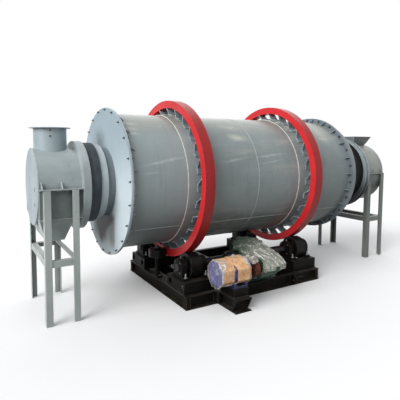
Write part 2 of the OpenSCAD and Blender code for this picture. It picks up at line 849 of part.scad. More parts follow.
// Half of the feed barrel with its split flanges; up is 1 for the top half
module feed_half(up) {
    r = in_barrel_r;
    z_cut = up > 0 ? hood_z - r - 1 : hood_z;
    z_fl = up > 0 ? hood_z : hood_z - split_t;
    difference() {
        xtube(in_x0, in_x1, r, r - sheet_t, 0, hood_z);
        block([in_x0 - 1, -r - 1, z_cut], [in_x1 + 1, r + 1, z_cut + r + 1]);
    }
    for (s = [-1, 1])
        block([in_flange_x0, min(s * (r - sheet_t), s * in_flange_y), z_fl],
              [in_x1, max(s * (r - sheet_t), s * in_flange_y), z_fl + split_t]);
}

module feed_hood_cover() {
    hole = throat + 8;
    color("slategray") difference() {
        union() {
            feed_half(1);
            for (s = [-1, 1], x = in_gussets)
                hood_gusset(x, s, in_barrel_r, in_flange_y);
        }
        block([mouth_x - hole, -hole, hood_z], [mouth_x + hole, hole, hood_z + in_barrel_r + 9]);
    }
}

module feed_hood_trough() {
    color("slategray") feed_half(-1);
}

module feed_hopper() {
    w = mouth_w / 2;
    color("gray") difference() {
        funnel([mouth_x - w, mouth_x + w, w, mouth_z],
               [mouth_x - throat, mouth_x + throat, throat, mouth_z - mouth_h], sheet_t - 1);
        xbar(in_x0 - w, in_x1 + w, in_barrel_r + seat, 0, hood_z);
    }
}

module feed_seal_casing() {
    x0 = in_x0 - in_casing_w;
    r = in_casing_r;
    t = casing_t + 2;
    groove = 26;
    color("gray") difference() {
        union() {
            xbar(x0, x0 + t, r, 0, hood_z);
            xbar(x0 + t - 1, in_x0 - t + 1, r - groove, 0, hood_z);
            xbar(in_x0 - t, in_x0, r, 0, hood_z);
        }
        xbar(x0 + t, in_x0 - t, r - groove - t, 0, hood_z);
        xbar(in_x0 - t - 1, in_x0 + 1, in_barrel_r - sheet_t, 0, hood_z);
        xbar(x0 - 1, x0 + t + 1, in_neck_d / 2 + casing_hole_gap);
    }
}

module feed_seal_band() {
    r = in_neck_d / 2 + collar_h + seat;
    x1 = cap_face + in_gap;
    color("#202020") {
        xtube(x1 - in_band_w - collar_lap, x1, r + band_t, r);
        xtube(x1 - casing_t, x1, r + band_t + band_rim, r);
    }
}

module feed_stand() {
    color("slategray") difference() {
        stand(in_flange_x0, in_x1, in_flange_y, hood_z - split_t, in_angle_w);
        xbar(in_x0 - 1, in_x1 + 1, in_barrel_r + seat, 0, hood_z);
    }
}

drum_shell();
discharge_rim_flange();
discharge_end_plate();
discharge_neck();
feed_rim_flange();
feed_end_cap();
feed_neck();
tyre_pads();
tyre(-tyre_x);  // discharge_tyre
tyre(tyre_x);  // feed_tyre
tyre_springs(-tyre_x);  // discharge_tyre_springs
tyre_springs(tyre_x);  // feed_tyre_springs
drive_shaft();
front_roller(-tyre_x);  // front_discharge_roller
front_roller(tyre_x);  // front_feed_roller
rear_roller(-tyre_x);  // rear_discharge_roller
rear_roller(tyre_x);  // rear_feed_roller
thrust_roller(-1);  // outer_thrust_roller
thrust_roller(1);  // inner_thrust_roller
motor_coupling();
base_frame();
lifting_lugs();
outrigger();
motor_stool();
pedestals();
roller_bearings();
thrust_posts();
gear_reducer();
motor();
motor_card_wraps();
discharge_hood_plate();
discharge_hood_cover();
discharge_hood_box();
discharge_hopper();
discharge_spout();
discharge_seal_casing();
discharge_seal_band();
discharge_stand();
feed_hood_plate();
feed_hood_cover();
feed_hood_trough();
feed_hopper();
feed_seal_casing();
feed_seal_band();
feed_stand();
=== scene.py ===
"""Finishes and small parts of the rotary drum dryer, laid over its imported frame."""

import logging
import math
from dataclasses import dataclass
from enum import Enum
from typing import Any, Callable, Sequence

import bmesh
import bpy
from mathutils import Matrix, Vector, noise


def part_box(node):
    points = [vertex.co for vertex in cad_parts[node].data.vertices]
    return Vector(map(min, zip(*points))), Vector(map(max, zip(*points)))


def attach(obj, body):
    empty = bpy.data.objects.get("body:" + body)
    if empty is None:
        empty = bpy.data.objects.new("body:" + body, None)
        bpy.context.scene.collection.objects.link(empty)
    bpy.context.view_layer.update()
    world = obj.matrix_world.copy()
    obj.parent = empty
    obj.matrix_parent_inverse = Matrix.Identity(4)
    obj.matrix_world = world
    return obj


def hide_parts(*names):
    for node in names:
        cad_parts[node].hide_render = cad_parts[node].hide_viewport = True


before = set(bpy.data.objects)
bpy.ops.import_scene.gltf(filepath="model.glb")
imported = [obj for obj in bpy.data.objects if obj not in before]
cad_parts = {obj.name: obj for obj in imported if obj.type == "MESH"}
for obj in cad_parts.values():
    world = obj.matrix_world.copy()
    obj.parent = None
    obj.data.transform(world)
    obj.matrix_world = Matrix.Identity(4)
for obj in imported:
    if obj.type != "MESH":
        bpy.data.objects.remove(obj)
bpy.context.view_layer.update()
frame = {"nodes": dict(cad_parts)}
log = logging.getLogger("dryer")

Number = "float | Signal"
Tone = "str | Signal"
Outline = Sequence[tuple[float, float]]
ENDS = (-1, 1)
CORNERS = tuple((a, b) for a in ENDS for b in ENDS)
UP = Vector((0, 0, 1))
BOLT_TURN = 1.7  # each bolt of a row stands turned by so much more, in radians


# ---------- Shader graphs ----------


def tone(code: str) -> tuple[float, float, float, float]:
    """Linear colour of a six-figure sRGB code.

    Args:
        code: Six hexadecimal figures.

    Returns:
        Red, green, blue and alpha, each 0 to 1.
    """
    parts = [int(code[i : i + 2], 16) / 255 for i in (0, 2, 4)]
    linear = [c / 12.92 if c <= 0.04045 else ((c + 0.055) / 1.055) ** 2.4 for c in parts]
    return (*linear, 1.0)


def operator(operation: str, turned: bool = False) -> Callable[["Signal", Number], "Signal"]:
    """A method that adds one Math node; turned swaps its two values.

    Args:
        operation: The Math node's operation.
        turned: Whether the other value comes first.

    Returns:
        The method.
    """

    def method(self: "Signal", other: Number) -> "Signal":
        """Adds the node and gives its result."""
        return self.graph.math(operation, *((other, self) if turned else (self, other)))

    return method


class Signal:
    """An output socket on which Python's operators add Math nodes."""

    def __init__(self, graph: "Graph", socket: bpy.types.NodeSocket) -> None:
        """Wraps one output socket of a graph."""
        self.graph = graph
        self.socket = socket

    __add__ = __radd__ = operator("ADD")
    __sub__, __rsub__ = operator("SUBTRACT"), operator("SUBTRACT", True)
    __mul__ = __rmul__ = operator("MULTIPLY")
    __truediv__ = operator("DIVIDE")
    __pow__ = operator("POWER")

    def __abs__(self) -> "Signal":
        """Distance from nought."""
        return self.graph.math("ABSOLUTE", self)

    def other(self, output: int | str) -> "Signal":
        """Another output of the same node."""
        return Signal(self.graph, self.socket.node.outputs[output])

    def rise(self, start: float, end: float) -> "Signal":
        """Soft step from 0 at start to 1 at end; end may be the lower of the two.

        Args:
            start: Value at which the step is 0.
            end: Value at which the step is 1.

        Returns:
            The step, never outside 0 to 1.
        """
        return self.graph.node("ShaderNodeMapRange", {"interpolation_type": "SMOOTHSTEP"}, {
            0: self, 1: min(start, end), 2: max(start, end), 3: float(start > end),
            4: float(start <= end)})


class Graph:
    """The node tree of one material or of the world."""

    def __init__(self, owner: bpy.types.Material | bpy.types.World) -> None:
        """Turns the owner's nodes on.

        Args:
            owner: Material or world whose nodes these are.
        """
        owner.use_nodes = True
        self.owner = owner
        self.tree = owner.node_tree
        self.places: dict[tuple, Signal] = {}

    def fill(self, made: bpy.types.Node, inputs: dict[Any, Any]) -> bpy.types.Node:
        """Links or sets inputs of a node.

        Args:
            made: The node.
            inputs: Signals or plain values, by the socket's name or number.

        Returns:
            The same node.
        """
        for key, value in inputs.items():
            if isinstance(value, Signal):
                self.tree.links.new(value.socket, made.inputs[key])
            else:
                made.inputs[key].default_value = value
        return made

    def node(self, kind: str, settings: dict[str, Any] | None = None,
             inputs: dict[Any, Any] | None = None, output: int | str = 0) -> Signal:
        """Adds a node.

        Args:
            kind: Blender's name of the node type.
            settings: Properties of the node, set first.
            inputs: Signals or plain values, by the socket's name or number.
            output: Which output to give back.

        Returns:
            That output of the new node.
        """
        made = self.tree.nodes.new(kind)
        for key, value in (settings or {}).items():
            setattr(made, key, value)
        return Signal(self, self.fill(made, inputs or {}).outputs[output])

    def math(self, operation: str, *values: Number) -> Signal:
        """A Math node on one or two values."""
        return self.node("ShaderNodeMath", {"operation": operation}, dict(enumerate(values)))

    def place(self, stretch: Sequence[float] = (1, 1, 1), turn: Sequence[float] = (0, 0, 0),
              shift: Sequence[float] = (0, 0, 0)) -> Signal:
        """Object coordinates, moved, turned and stretched for a pattern.

        Args:
            stretch: How often the pattern repeats along each axis.
            turn: Turn about each axis, in radians.
            shift: Offset of the pattern.

        Returns:
            The coordinates; the same request gives the same nodes.
        """
        key = (tuple(stretch), tuple(turn), tuple(shift))
        if key not in self.places:
            plain = self.node("ShaderNodeTexCoord", output="Object")
            self.places[key] = self.node("ShaderNodeMapping", {}, {
                "Vector": plain, "Scale": key[0], "Rotation": key[1], "Location": key[2]})
        return self.places[key]

    def axes(self) -> list[Signal]:
        """The three Object coordinates in metres."""
        x = self.node("ShaderNodeSeparateXYZ", {}, {0: self.place()})
        return [x.other(i) for i in range(3)]

    def span(self, a: Signal, b: Signal) -> Signal:
        """Distance from the axis on which both signals are 0."""
        return self.math("SQRT", a * a + b * b)

    def noise(self, often: float, detail: float = 4.0, rough: float = 0.55,
              at: Signal | None = None) -> Signal:
        """Cloudy pattern around 0.5.

        Args:
            often: Patches per metre.
            detail: Number of finer layers.
            rough: Strength of the finer layers.
            at: Coordinates, or None for the plain ones.

        Returns:
            The pattern.
        """
        return self.node("ShaderNodeTexNoise", {"noise_dimensions": "3D"}, {
            "Vector": at or self.place(), "Scale": often, "Detail": detail, "Roughness": rough})

    def mix(self, share: Number, a: Tone, b: Tone) -> Signal:
        """Mixes two colours, each a signal or a six-figure code.

        Args:
            share: How much of the second colour shows.
            a: First colour.
            b: Second colour.

        Returns:
            The mixed colour.
        """
        first, second = (tone(c) if isinstance(c, str) else c for c in (a, b))
        return self.node("ShaderNodeMix", {"data_type": "RGBA", "clamp_factor": True},
                         {0: share, 6: first, 7: second}, 2)

    def blend(self, share: Signal, a: Signal, b: Signal) -> Signal:
        """Mixes two shaders; share is how much of the second one shows."""
        return self.node("ShaderNodeMixShader", {}, {0: share, 1: a, 2: b})

    def rounded(self, width: float) -> Signal:
        """Normal that rounds every edge over a width."""
        return self.node("ShaderNodeBevel", {"samples": 4}, {"Radius": width})

    def edges(self, width: float) -> Signal:
        """1 on outer and inner edges and 0 on flat faces.

        Args:
            width: How far from an edge it reaches, in metres.

        Returns:
            The mask.
        """
        flat = self.node("ShaderNodeNewGeometry", output="Normal")
        dot = self.node("ShaderNodeVectorMath", {"operation": "DOT_PRODUCT"},
                        {0: self.rounded(width), 1: flat}, "Value")
        return (1 - dot).rise(0.02, 0.16)

    def hollows(self, reach: float) -> Signal:
        """1 deep in corners of the piece itself and 0 in the open."""
        return 1 - self.node("ShaderNodeAmbientOcclusion", {"samples": 6, "only_local": True},
                             {"Distance": reach}, "AO")

    def facing(self, axis: int) -> Signal:
        """How far faces look along an axis, from -1 to 1."""
        normal = self.node("ShaderNodeNewGeometry", output="Normal")
        return self.node("ShaderNodeSeparateXYZ", {}, {0: normal}, axis)

    def scratches(self) -> Signal:
        """1 on long thin scratches in some patches and 0 beside them.

        Returns:
            The mask.
        """
        wavy = self.noise(1.0, 1.0, 0.4, self.place((2.2, 19, 23), (0.5, 0.2, 0.9),
                                                    (3.1, 1.7, 5.3)))
        kept = self.noise(5.0, 2.0, 0.5, self.place(shift=(7.0, 2.0, 4.0)))
        return abs(wavy - 0.5).rise(0.006, 0.0) * kept.rise(0.52, 0.62)

    def bump(self, height: Signal, depth: float, normal: Signal | None = None) -> Signal:
        """Surface relief of a given depth in metres, over another normal if one is given."""
        values: dict[Any, Any] = {"Height": height, "Strength": 1.0, "Distance": depth}
        return self.node("ShaderNodeBump", {}, values | ({"Normal": normal} if normal else {}))

    def finish(self, colour: Signal, roughness: Signal, normal: Signal, specular: float,
               **others: Number) -> None:
        """Sets the Principled shader.

        Args:
            colour: Base colour.
            roughness: Roughness.
            normal: Relief.
            specular: Strength of the reflections, the same all over the piece.
            others: Further inputs by name.
        """
        self.fill(self.tree.nodes["Principled BSDF"], {
            "Base Color": colour, "Roughness": roughness, "Normal": normal,
            "Specular IOR Level": specular, **others})


# ---------- Finishes ----------


@dataclass(frozen=True)
class Finish:
    """A finish of its own name; colours are six-figure sRGB codes."""

    name: str

    def nodes(self, g: Graph) -> None:
        """Adds the finish's nodes to a fresh material."""
        raise NotImplementedError

    def make(self) -> bpy.types.Material:
        """Builds the material.

        Returns:
            The new material.
        """
        g = Graph(bpy.data.materials.new(self.name))
        self.nodes(g)
        return g.owner


@dataclass(frozen=True)
class Paint(Finish):
    """Sprayed steel with drifting tone, soiling and painted shade in its corners, and worn edges
    that also carry a painted highlight.

    patch is the number of tone patches per metre and stretch how they are drawn out along
    the axes. reach and edge are widths in metres, and peel is the depth of the relief.
    """

    colour: str
    second: str
    grime_and_shade_tone: str = "3A3833"
    worn: str = "B9C0C0"
    roughness: float = 0.42
    specular: float = 0.5
    patch: float = 1.6
    stretch: tuple[float, float, float] = (1.0, 1.0, 1.0)
    corner_grime_and_shade: float = 0.6
    reach: float = 0.05
    edge: float = 0.004
    edge_wear_and_highlight: float = 0.6
    scratch: float = 0.25
    dust: float = 0.0
    peel: float = 0.00012

    def marks(self, g: Graph, colour: Signal) -> Signal:
        """Marks that only this finish has; a plain paint has none."""
        return colour

    def nodes(self, g: Graph) -> None:
        """Colour, roughness and relief that change over the piece.

        Args:
            g: Graph that the nodes are added to.
        """
        drift = g.noise(self.patch, 5, 0.6, g.place(self.stretch))
        speck = g.noise(38, 4, 0.7)
        streak = g.noise(1.0, 3, 0.6, g.place((9, 9, 0.7), shift=(1.3, 0.2, 0.6)))
        colour = g.mix(drift.rise(0.38, 0.64), self.colour, self.second)
        colour = g.mix(streak.rise(0.55, 0.8) * 0.22, colour, self.grime_and_shade_tone)
        colour = self.marks(g, colour)
        colour = g.mix(speck.rise(0.56, 0.78) * 0.16, colour, self.grime_and_shade_tone)
        if self.dust:
            dusty = g.facing(2).rise(0.55, 0.95) * g.noise(6, 5, 0.65).rise(0.3, 0.7) * self.dust
            colour = g.mix(dusty, colour, "8C8478")
        # Soiling and painted shade: darker in the piece's own corners, found by ambient occlusion.
        hollow_grime_and_shade = (g.hollows(self.reach) * 1.6 * drift.rise(0.1, 0.6)).rise(0.12, 0.85) * self.corner_grime_and_shade
        colour = g.mix(hollow_grime_and_shade, colour, self.grime_and_shade_tone)
        scratches = g.scratches() * self.scratch
        colour = g.mix(scratches, colour, self.worn)
        # Edge wear and painted highlight: edges lightened towards the worn colour.
        rubbed_and_highlit_edges = g.edges(self.edge) * speck.rise(0.36, 0.6) * self.edge_wear_and_highlight
        colour = g.mix(rubbed_and_highlit_edges, colour, self.worn)
        rough = self.roughness + (drift - 0.5) * 0.25 + hollow_grime_and_shade * 0.3 - scratches * 0.2
        fine = g.noise(420, 2, 0.5) + g.noise(9, 3, 0.5) * 2.0
        normal = g.bump(fine - scratches * 2, self.peel, g.rounded(self.edge * 0.5))
        g.finish(colour, rough, normal, self.specular)


@dataclass(frozen=True)
class ShadedPaint(Paint):
    """Paint with painted shade across one axis, by place or by the way its faces look."""

    shade: str = "101210"
    axis: int = 2
    start: float = 0.0
    end: float = 1.0
    share: float = 0.8
    by_face: bool = False

    def marks(self, g: Graph, colour: Signal) -> Signal:
        """Paints shade over one side of the axis."""
        value = g.facing(self.axis) if self.by_face else g.axes()[self.axis]
        return g.mix(value.rise(self.start, self.end) * self.share, colour, self.shade)


@dataclass(frozen=True)
class ShellPaint(Paint):
    """Drum shell paint with painted light: lighter at the discharge end, darker low down, and
    painted reflections and sheen, the one on top in a dusty tone.

    Each painted reflection stripe runs from (x, z) to (x, z) with a half width, in metres, and has
    a strength.
    """

    top: float = 2.1
    reflection_streaks: tuple[tuple[float, ...], ...] = (
        (-1.50, 1.530, -0.93, 1.622, 0.020, 0.50), (-1.52, 1.458, -1.20, 1.470, 0.016, 0.25),
        (-0.56, 1.548, -0.06, 1.612, 0.016, 0.40), (-0.04, 1.604, 0.47, 1.638, 0.015, 0.40),
        (0.02, 1.526, 0.42, 1.566, 0.012, 0.28), (-0.38, 1.965, -0.06, 1.925, 0.032, 0.35),
        (-0.36, 1.842, -0.01, 1.812, 0.046, 0.50), (1.05, 1.905, 1.46, 1.895, 0.140, 0.30),
        (1.14, 1.836, 1.42, 1.824, 0.026, 0.35), (-1.57, 1.968, -1.36, 1.948, 0.020, 0.38),
        (-1.56, 1.915, -1.38, 1.898, 0.026, 0.42), (-1.54, 1.862, -1.39, 1.848, 0.022, 0.32))
    high_reflection_streak: float = 1.8

    def marks(self, g: Graph, colour: Signal) -> Signal:
        """Painted light, shade, reflections and sheen on the drum, and fine rings round it.

        Args:
            g: Graph that the nodes are added to.
            colour: Colour of the paint.

        Returns:
            The marked colour.
        """
        x, y, z = g.axes()
        # Painted light: the shell grows lighter towards the discharge end.
        colour = g.mix(x.rise(0.2, -1.5) * 0.45, colour, "AAB7BA")
        # Painted reflection in a dusty beige tone near the top of the shell.
        top_reflection_and_dust = z.rise(self.top - 0.30, self.top - 0.05)
        colour = g.mix(top_reflection_and_dust * 0.6, colour, "84857B")
        # Painted shade: darker low on the shell.
        colour = g.mix(z.rise(self.top - 0.80, self.top - 1.25) * 0.42, colour, "5B5E58")
        # Painted reflections: pale stripes from the listed table, on the front half of the shell
        # only.
        side, cloud = y.rise(0.0, -0.1), g.noise(7, 4, 0.65).rise(0.36, 0.62)
        waved = z + (g.noise(5, 3, 0.6) - 0.5) * 0.045
        for x0, z0, x1, z1, half, share in self.reflection_streaks:
            slope = (z1 - z0) / (x1 - x0)
            pale_streak = g.span((x - (x0 + x1) / 2) * (2 / (x1 - x0)),
                          (waved - x * slope - (z0 - x0 * slope)) / half)
            pale_streak = pale_streak.rise(1.2, 0.1) * side * (cloud * 0.6 + 0.4)
            colour = g.mix(pale_streak * share, colour, "DCDCCD" if z0 > self.high_reflection_streak else "D2D6D3")
        # Painted sheen: pale stripes drawn out along the drum.
        sheen_streaks = g.noise(1.0, 4, 0.62, g.place((0.7, 4.6, 4.6), (0.12, 0, 0), (0.35, 1.9, 0.2)))
        colour = g.mix(sheen_streaks.rise(0.52, 0.72) * 0.4, colour, "B5B5AA")
        rings = g.noise(1.0, 3, 0.6, g.place((34, 0.8, 0.8), shift=(0, 2.0, 1.0)))
        return g.mix(rings.rise(0.56, 0.74) * 0.22, colour, "6C7370")


@dataclass(frozen=True)
class TyrePaint(Paint):
    """Red tyre paint, dull and darker where the rollers run."""

    centre: float = 0.0
    outer: float = 1.0

    def marks(self, g: Graph, colour: Signal) -> Signal:
        """Run surface with fine rings and a few chips.

        Args:
            g: Graph that the nodes are added to.
            colour: Colour of the paint.

        Returns:
            The marked colour.
        """
        _, y, z = g.axes()
        run = g.span(y, z - self.centre).rise(self.outer - 0.0025, self.outer - 0.0010)
        rings = g.noise(1.0, 3, 0.6, g.place((60, 1.2, 1.2)))
        worn = g.mix(rings.rise(0.3, 0.75), "9A2627", "8A2022")
        worn = g.mix(g.noise(5, 5, 0.65).rise(0.52, 0.75) * 0.5, worn, "6A2022")
        colour = g.mix(run * 0.85, colour, worn)
        return g.mix(g.noise(46, 3, 0.75).rise(0.68, 0.71) * 0.6, colour, "6A2A28")


@dataclass(frozen=True)
class PlatePaint(Paint):
    """Pale end plate paint: painted shade at the top and round the neck, soot with painted shadow,
    and runs below it, the pale ones painted light.
    """

    centre: float = 0.0

    def marks(self, g: Graph, colour: Signal) -> Signal:
        """Painted shade over the neck and at the top, soot with painted shadow under the neck, and
        runs under it, the pale ones painted light.

        Args:
            g: Graph that the nodes are added to.
            colour: Colour of the paint.

        Returns:
            The marked colour.
        """
        _, y, z = g.axes()
        out, down = g.span(y, z - self.centre), self.centre - z
        # Painted shade: darker towards the top of the plate.
        colour = g.mix(down.rise(0.10, -0.62) * 0.8, colour, "8899A4")
        # Painted shadow of the collar just above the neck.
        above = g.span((y - 0.20) / 0.30, (down + 0.42) / 0.17).rise(1.3, 0.2)
        colour = g.mix(above * g.noise(3.2, 5, 0.6).rise(0.25, 0.6) * 0.7, colour, "566269")
        wavering = y + (g.noise(2.4, 3, 0.5) - 0.5) * 0.06
        runs = g.noise(1.0, 3, 0.6, g.place((1, 15, 0.8), shift=(0, 0.4, 0.3)))
        # Soot and painted shadow under the neck: a broad grey smudge and a dark middle.
        soot_and_shadow_wide = abs(wavering - 0.03).rise(0.40, 0.30) * down.rise(0.76, 0.60) * down.rise(0.30, 0.42)
        colour = g.mix(soot_and_shadow_wide * (0.62 + runs.rise(0.6, 0.4) * 0.2), colour, "7C7F7C")
        half = g.math("MAXIMUM", (0.77 - down) / 0.39, 0.0) ** 1.3 * 0.33
        soot_and_shadow_core = (abs(wavering - 0.03 - down.rise(0.38, 0.56) * 0.09) - half).rise(0.07, -0.07)
        soot_and_shadow_core = soot_and_shadow_core * down.rise(0.77, 0.66) * down.rise(0.30, 0.40)
        colour = g.mix(soot_and_shadow_core * 0.94, colour, "1F1F1C")
        stripe = abs(y + 0.29).rise(0.06, 0.01) * down.rise(0.36, 0.46) * out.rise(0.78, 0.66)
        colour = g.mix(stripe * 0.35, colour, "6A706E")
        # Painted light: pale runs that lighten the shaded plate under the neck.
        painted_light_runs = abs(y + 0.10).rise(0.09, 0.01) + abs(y + 0.40).rise(0.05, 0.01)
        painted_light_runs = painted_light_runs * down.rise(0.50, 0.62) * out.rise(0.80, 0.66)
        return g.mix(painted_light_runs * 0.5, colour, "D0D6D2")


@dataclass(frozen=True)
class NeckPaint(Paint):
    """Neck paint with painted shade on the narrow part inside the raised collar."""

    centre: float = 0.0
    collar: float = 0.4
    shaded_tube: str = "767F83"

    def marks(self, g: Graph, colour: Signal) -> Signal:
        """Paints shade over the narrow part inside the collar's radius.

        Args:
            g: Graph that the nodes are added to.
            colour: Colour of the paint.

        Returns:
            The darkened colour.
        """
        _, y, z = g.axes()
        inside = g.span(y, z - self.centre).rise(self.collar + 0.004, self.collar - 0.004)
        return g.mix(inside, colour, self.shaded_tube)


@dataclass(frozen=True)
class HoodPlatePaint(Paint):
    """Pale hood plate paint with thin dark scratches round a spot (y, z)."""

    spot: tuple[float, float] = (0.0, 0.0)

    def marks(self, g: Graph, colour: Signal) -> Signal:
        """Dark scratches in one small patch.

        Args:
            g: Graph that the nodes are added to.
            colour: Colour of the paint.

        Returns:
            The scratched colour.
        """
        _, y, z = g.axes()
        patch = g.span(y - self.spot[0], (z - self.spot[1]) * 1.3).rise(0.17, 0.09)
        wavy = g.noise(1.0, 2, 0.5, g.place((1, 8, 21), (0.35, 0, 0), (0, 0.7, 0.1)))
        lines = abs(wavy - 0.5).rise(0.028, 0.006) * g.noise(17, 2, 0.5).rise(0.45, 0.55)
        return g.mix(lines * patch * 0.85, colour, "56585C")


@dataclass(frozen=True)
class Rubber(Finish):
    """Dusty black rubber with fine ribs of wear."""

    colour: str = "2B3238"
    dust: str = "596266"

    def nodes(self, g: Graph) -> None:
        """Slate black, dustier in cloudy patches.

        Args:
            g: Graph that the nodes are added to.
        """
        pale_streak = g.noise(1.0, 3, 0.6, g.place((40, 1.5, 1.5)))
        share = g.noise(4.5, 5, 0.6).rise(0.42, 0.75) * 0.55 + pale_streak.rise(0.5, 0.8) * 0.2
        colour = g.mix(share, self.colour, self.dust)
        colour = g.mix(g.edges(0.003) * 0.4, colour, "717A7E")
        normal = g.bump(g.noise(300, 3, 0.6) + pale_streak * 2, 0.0002)
        g.finish(colour, 0.62 + share * 0.3, normal, 0.35)


@dataclass(frozen=True)
class Steel(Finish):
    """Bare or blackened steel with turning marks, light rust, and edges lightened by wear and by a
    painted highlight.
    """

    colour: str
    rust: str = "5A3424"
    amount: float = 0.3
    roughness: float = 0.4
    metallic: float = 0.8
    specular: float = 0.5

    def nodes(self, g: Graph) -> None:
        """Turned steel with rust in cloudy patches.

        Args:
            g: Graph that the nodes are added to.
        """
        rust = g.noise(11, 6, 0.7).rise(0.62 - self.amount * 0.35, 0.78 - self.amount * 0.3)
        grain = g.noise(1.0, 3, 0.6, g.place((160, 6, 6)))
        colour = g.mix(grain.rise(0.3, 0.7) * 0.35, self.colour, "1E1E20")
        colour = g.mix(rust * min(1.0, self.amount * 2.2), colour, self.rust)
        # Edge wear and painted highlight: lighter along edges and chamfers.
        colour = g.mix(g.edges(0.003) * 0.5, colour, "A7A7A5")
        g.finish(colour, self.roughness + rust * 0.35, g.bump(grain + rust * 3, 0.00015),
                 self.specular, Metallic=self.metallic * (1 - rust))


@dataclass(frozen=True)
class Card(Finish):
    """Brown cardboard with creases, fibres, faint flutes and painted shade in its own hollows."""

    colour: str = "C69A6B"
    pale: str = "DDB68C"

    def nodes(self, g: Graph) -> None:
        """Fibres and flutes under creases.

        Args:
            g: Graph that the nodes are added to.
        """
        blotch = g.noise(13, 5, 0.65)
        fibre = g.noise(1.0, 4, 0.7, g.place((30, 190, 190)))
        crease = abs(g.noise(1.0, 2, 0.5, g.place((15, 5, 5), (0.3, 0.2, 0.9))) - 0.5)
        crease = crease.rise(0.035, 0.0)
        flute = g.math("SINE", g.axes()[0] * 900.0) * 0.5 + 0.5
        colour = g.mix(blotch.rise(0.35, 0.68), self.colour, self.pale)
        colour = g.mix(fibre.rise(0.4, 0.75) * 0.25, colour, "8E6842")
        colour = g.mix(crease * 0.45, colour, "8A6136")
        # Painted shade: darker in the cardboard's own hollows, found by ambient occlusion.
        colour = g.mix(g.hollows(0.03) * 0.6, colour, "6B4A2B")
        colour = g.mix(g.edges(0.004) * 0.35, colour, "E7CBA6")
        normal = g.bump(flute * 0.5 + blotch * 3 - crease * 2.5 + fibre, 0.0009)
        g.finish(colour, 0.82 + blotch * 0.1, normal, 0.2)


@dataclass(frozen=True)
class Film(Finish):
    """Clear wrapping film, whiter where it is creased or lies in several layers.

    clear and white are how solid it looks flat and creased, often is the number of creases
    per metre and drawn says how they are drawn out along the axes.
    """

    tint: str = "DDE2E6"
    clear: float = 0.16
    white: float = 0.75
    often: float = 6.0
    drawn: tuple[float, float, float] = (1.0, 1.0, 1.0)

    def haze(self, g: Graph) -> Signal:
        """Soft patches where the film is milky."""
        return g.noise(self.often * 0.7, 3, 0.5).rise(0.46, 0.72)

    def nodes(self, g: Graph) -> None:
        """See-through film with white creases.

        Args:
            g: Graph that the nodes are added to.
        """
        at = g.place(self.drawn, (0.25, 0.1, 0.15))
        wave = g.noise(self.often, 3, 0.5, at)
        fold = abs(wave - 0.5).rise(0.034, 0.004)
        fine = abs(g.noise(self.often * 2.7, 2, 0.5, at) - 0.5).rise(0.022, 0.0)
        haze = self.haze(g)
        lines = (fold + fine * 0.45) * (0.30 + haze * 0.70)
        alpha = self.clear + lines * (self.white - self.clear) + haze * 0.34
        colour = g.mix(lines * 0.8, self.tint, "F0F0EC")
        normal = g.bump(wave + fine * 0.3 + fold * 0.3, 0.016)
        g.finish(colour, 0.14 + haze * 0.2, normal, 0.8, Alpha=alpha)


@dataclass(frozen=True)
class EndFilm(Film):
    """Film drawn over the motor's ends, milky where it laps back over the cardboard."""

    edge_x: float = 0.0

    def haze(self, g: Graph) -> Signal:
        """Milkier behind the motor's free end.

        Args:
            g: Graph that the nodes are added to.

        Returns:
            How milky the film is.
        """
        patches = g.noise(self.often * 0.9, 3, 0.55)
        lapped = g.axes()[0].rise(self.edge_x, self.edge_x + 0.008)
        return patches.rise(0.46, 0.70) * 0.5 + lapped * 0.9


@dataclass(frozen=True)
class BagFilm(Film):
    """Film of the reducer's bag: clear over the housing and milky at its small end."""

    clear_y: float = -0.58
    milky_y: float = -0.92

    def haze(self, g: Graph) -> Signal:
        """Milkier towards the small end, in uneven patches.

        Args:
            g: Graph that the nodes are added to.

        Returns:
            How milky the film is.
        """
        patches = g.noise(self.often * 0.6, 3, 0.55)
        near = (g.axes()[1] + (patches - 0.5) * 0.5).rise(self.clear_y, self.milky_y)
        return near * 0.8 + patches.rise(0.5, 0.72) * 0.3


# ---------- Shapes ----------


def put(name: str, data: bpy.types.ID) -> bpy.types.Object:
    """Adds an object to the scene.

    Args:
        name: Name of the object.
        data: Its mesh, curve, lamp or camera.

    Returns:
        The new object.
    """
    made = bpy.data.objects.new(name, data)
    bpy.context.scene.collection.objects.link(made)
    return made


def at(*place: float) -> Matrix:
    """Place at a point, turned like the world."""
    return Matrix.Translation(place)


def to_x(x: float, y: float, z: float, sign: int = 1) -> Matrix:
    """Place whose Z axis points along +X or -X."""
    return at(x, y, z) @ Matrix.Rotation(sign * math.pi / 2, 4, "Y")


def circle(radius: float, count: int, turn: float, place: Matrix) -> list[Matrix]:
    """Places on a circle about the Z axis of a place.

    Args:
        radius: Radius of the circle.
        count: Number of places.
        turn: Angle of the first one, in radians.
        place: Where the circle's axis stands.

    Returns:
        The places, each facing along the axis.
    """
    return [place @ Matrix.Rotation(turn + i * 2 * math.pi / count, 4, "Z") @ at(radius, 0, 0)
            for i in range(count)]


class Body(Enum):
    """The bodies that pieces ride on."""

    PLANT = "plant"
    DRUM = "drum"
    DRIVE = "drive_rollers"
    MOTOR = "motor_shaft"


class Slot(Enum):
    """Names of material slots, carried by the added pieces' coats."""

    ZINC = "bolt_zinc"
    DARK = "bolt_dark"
    SEAM = "weld_seam"
    FRAME = "frame_paint"
    FILM = "wrap_film"
    CARD = "cardboard"
    REDUCER = "reducer_paint"
    MOTOR = "motor_paint"


@dataclass(frozen=True)
class Coat:
    """A slot with its material, and the angle in degrees above which edges stay sharp."""

    slot: Slot
    material: bpy.types.Material
    crease: float = 60.0


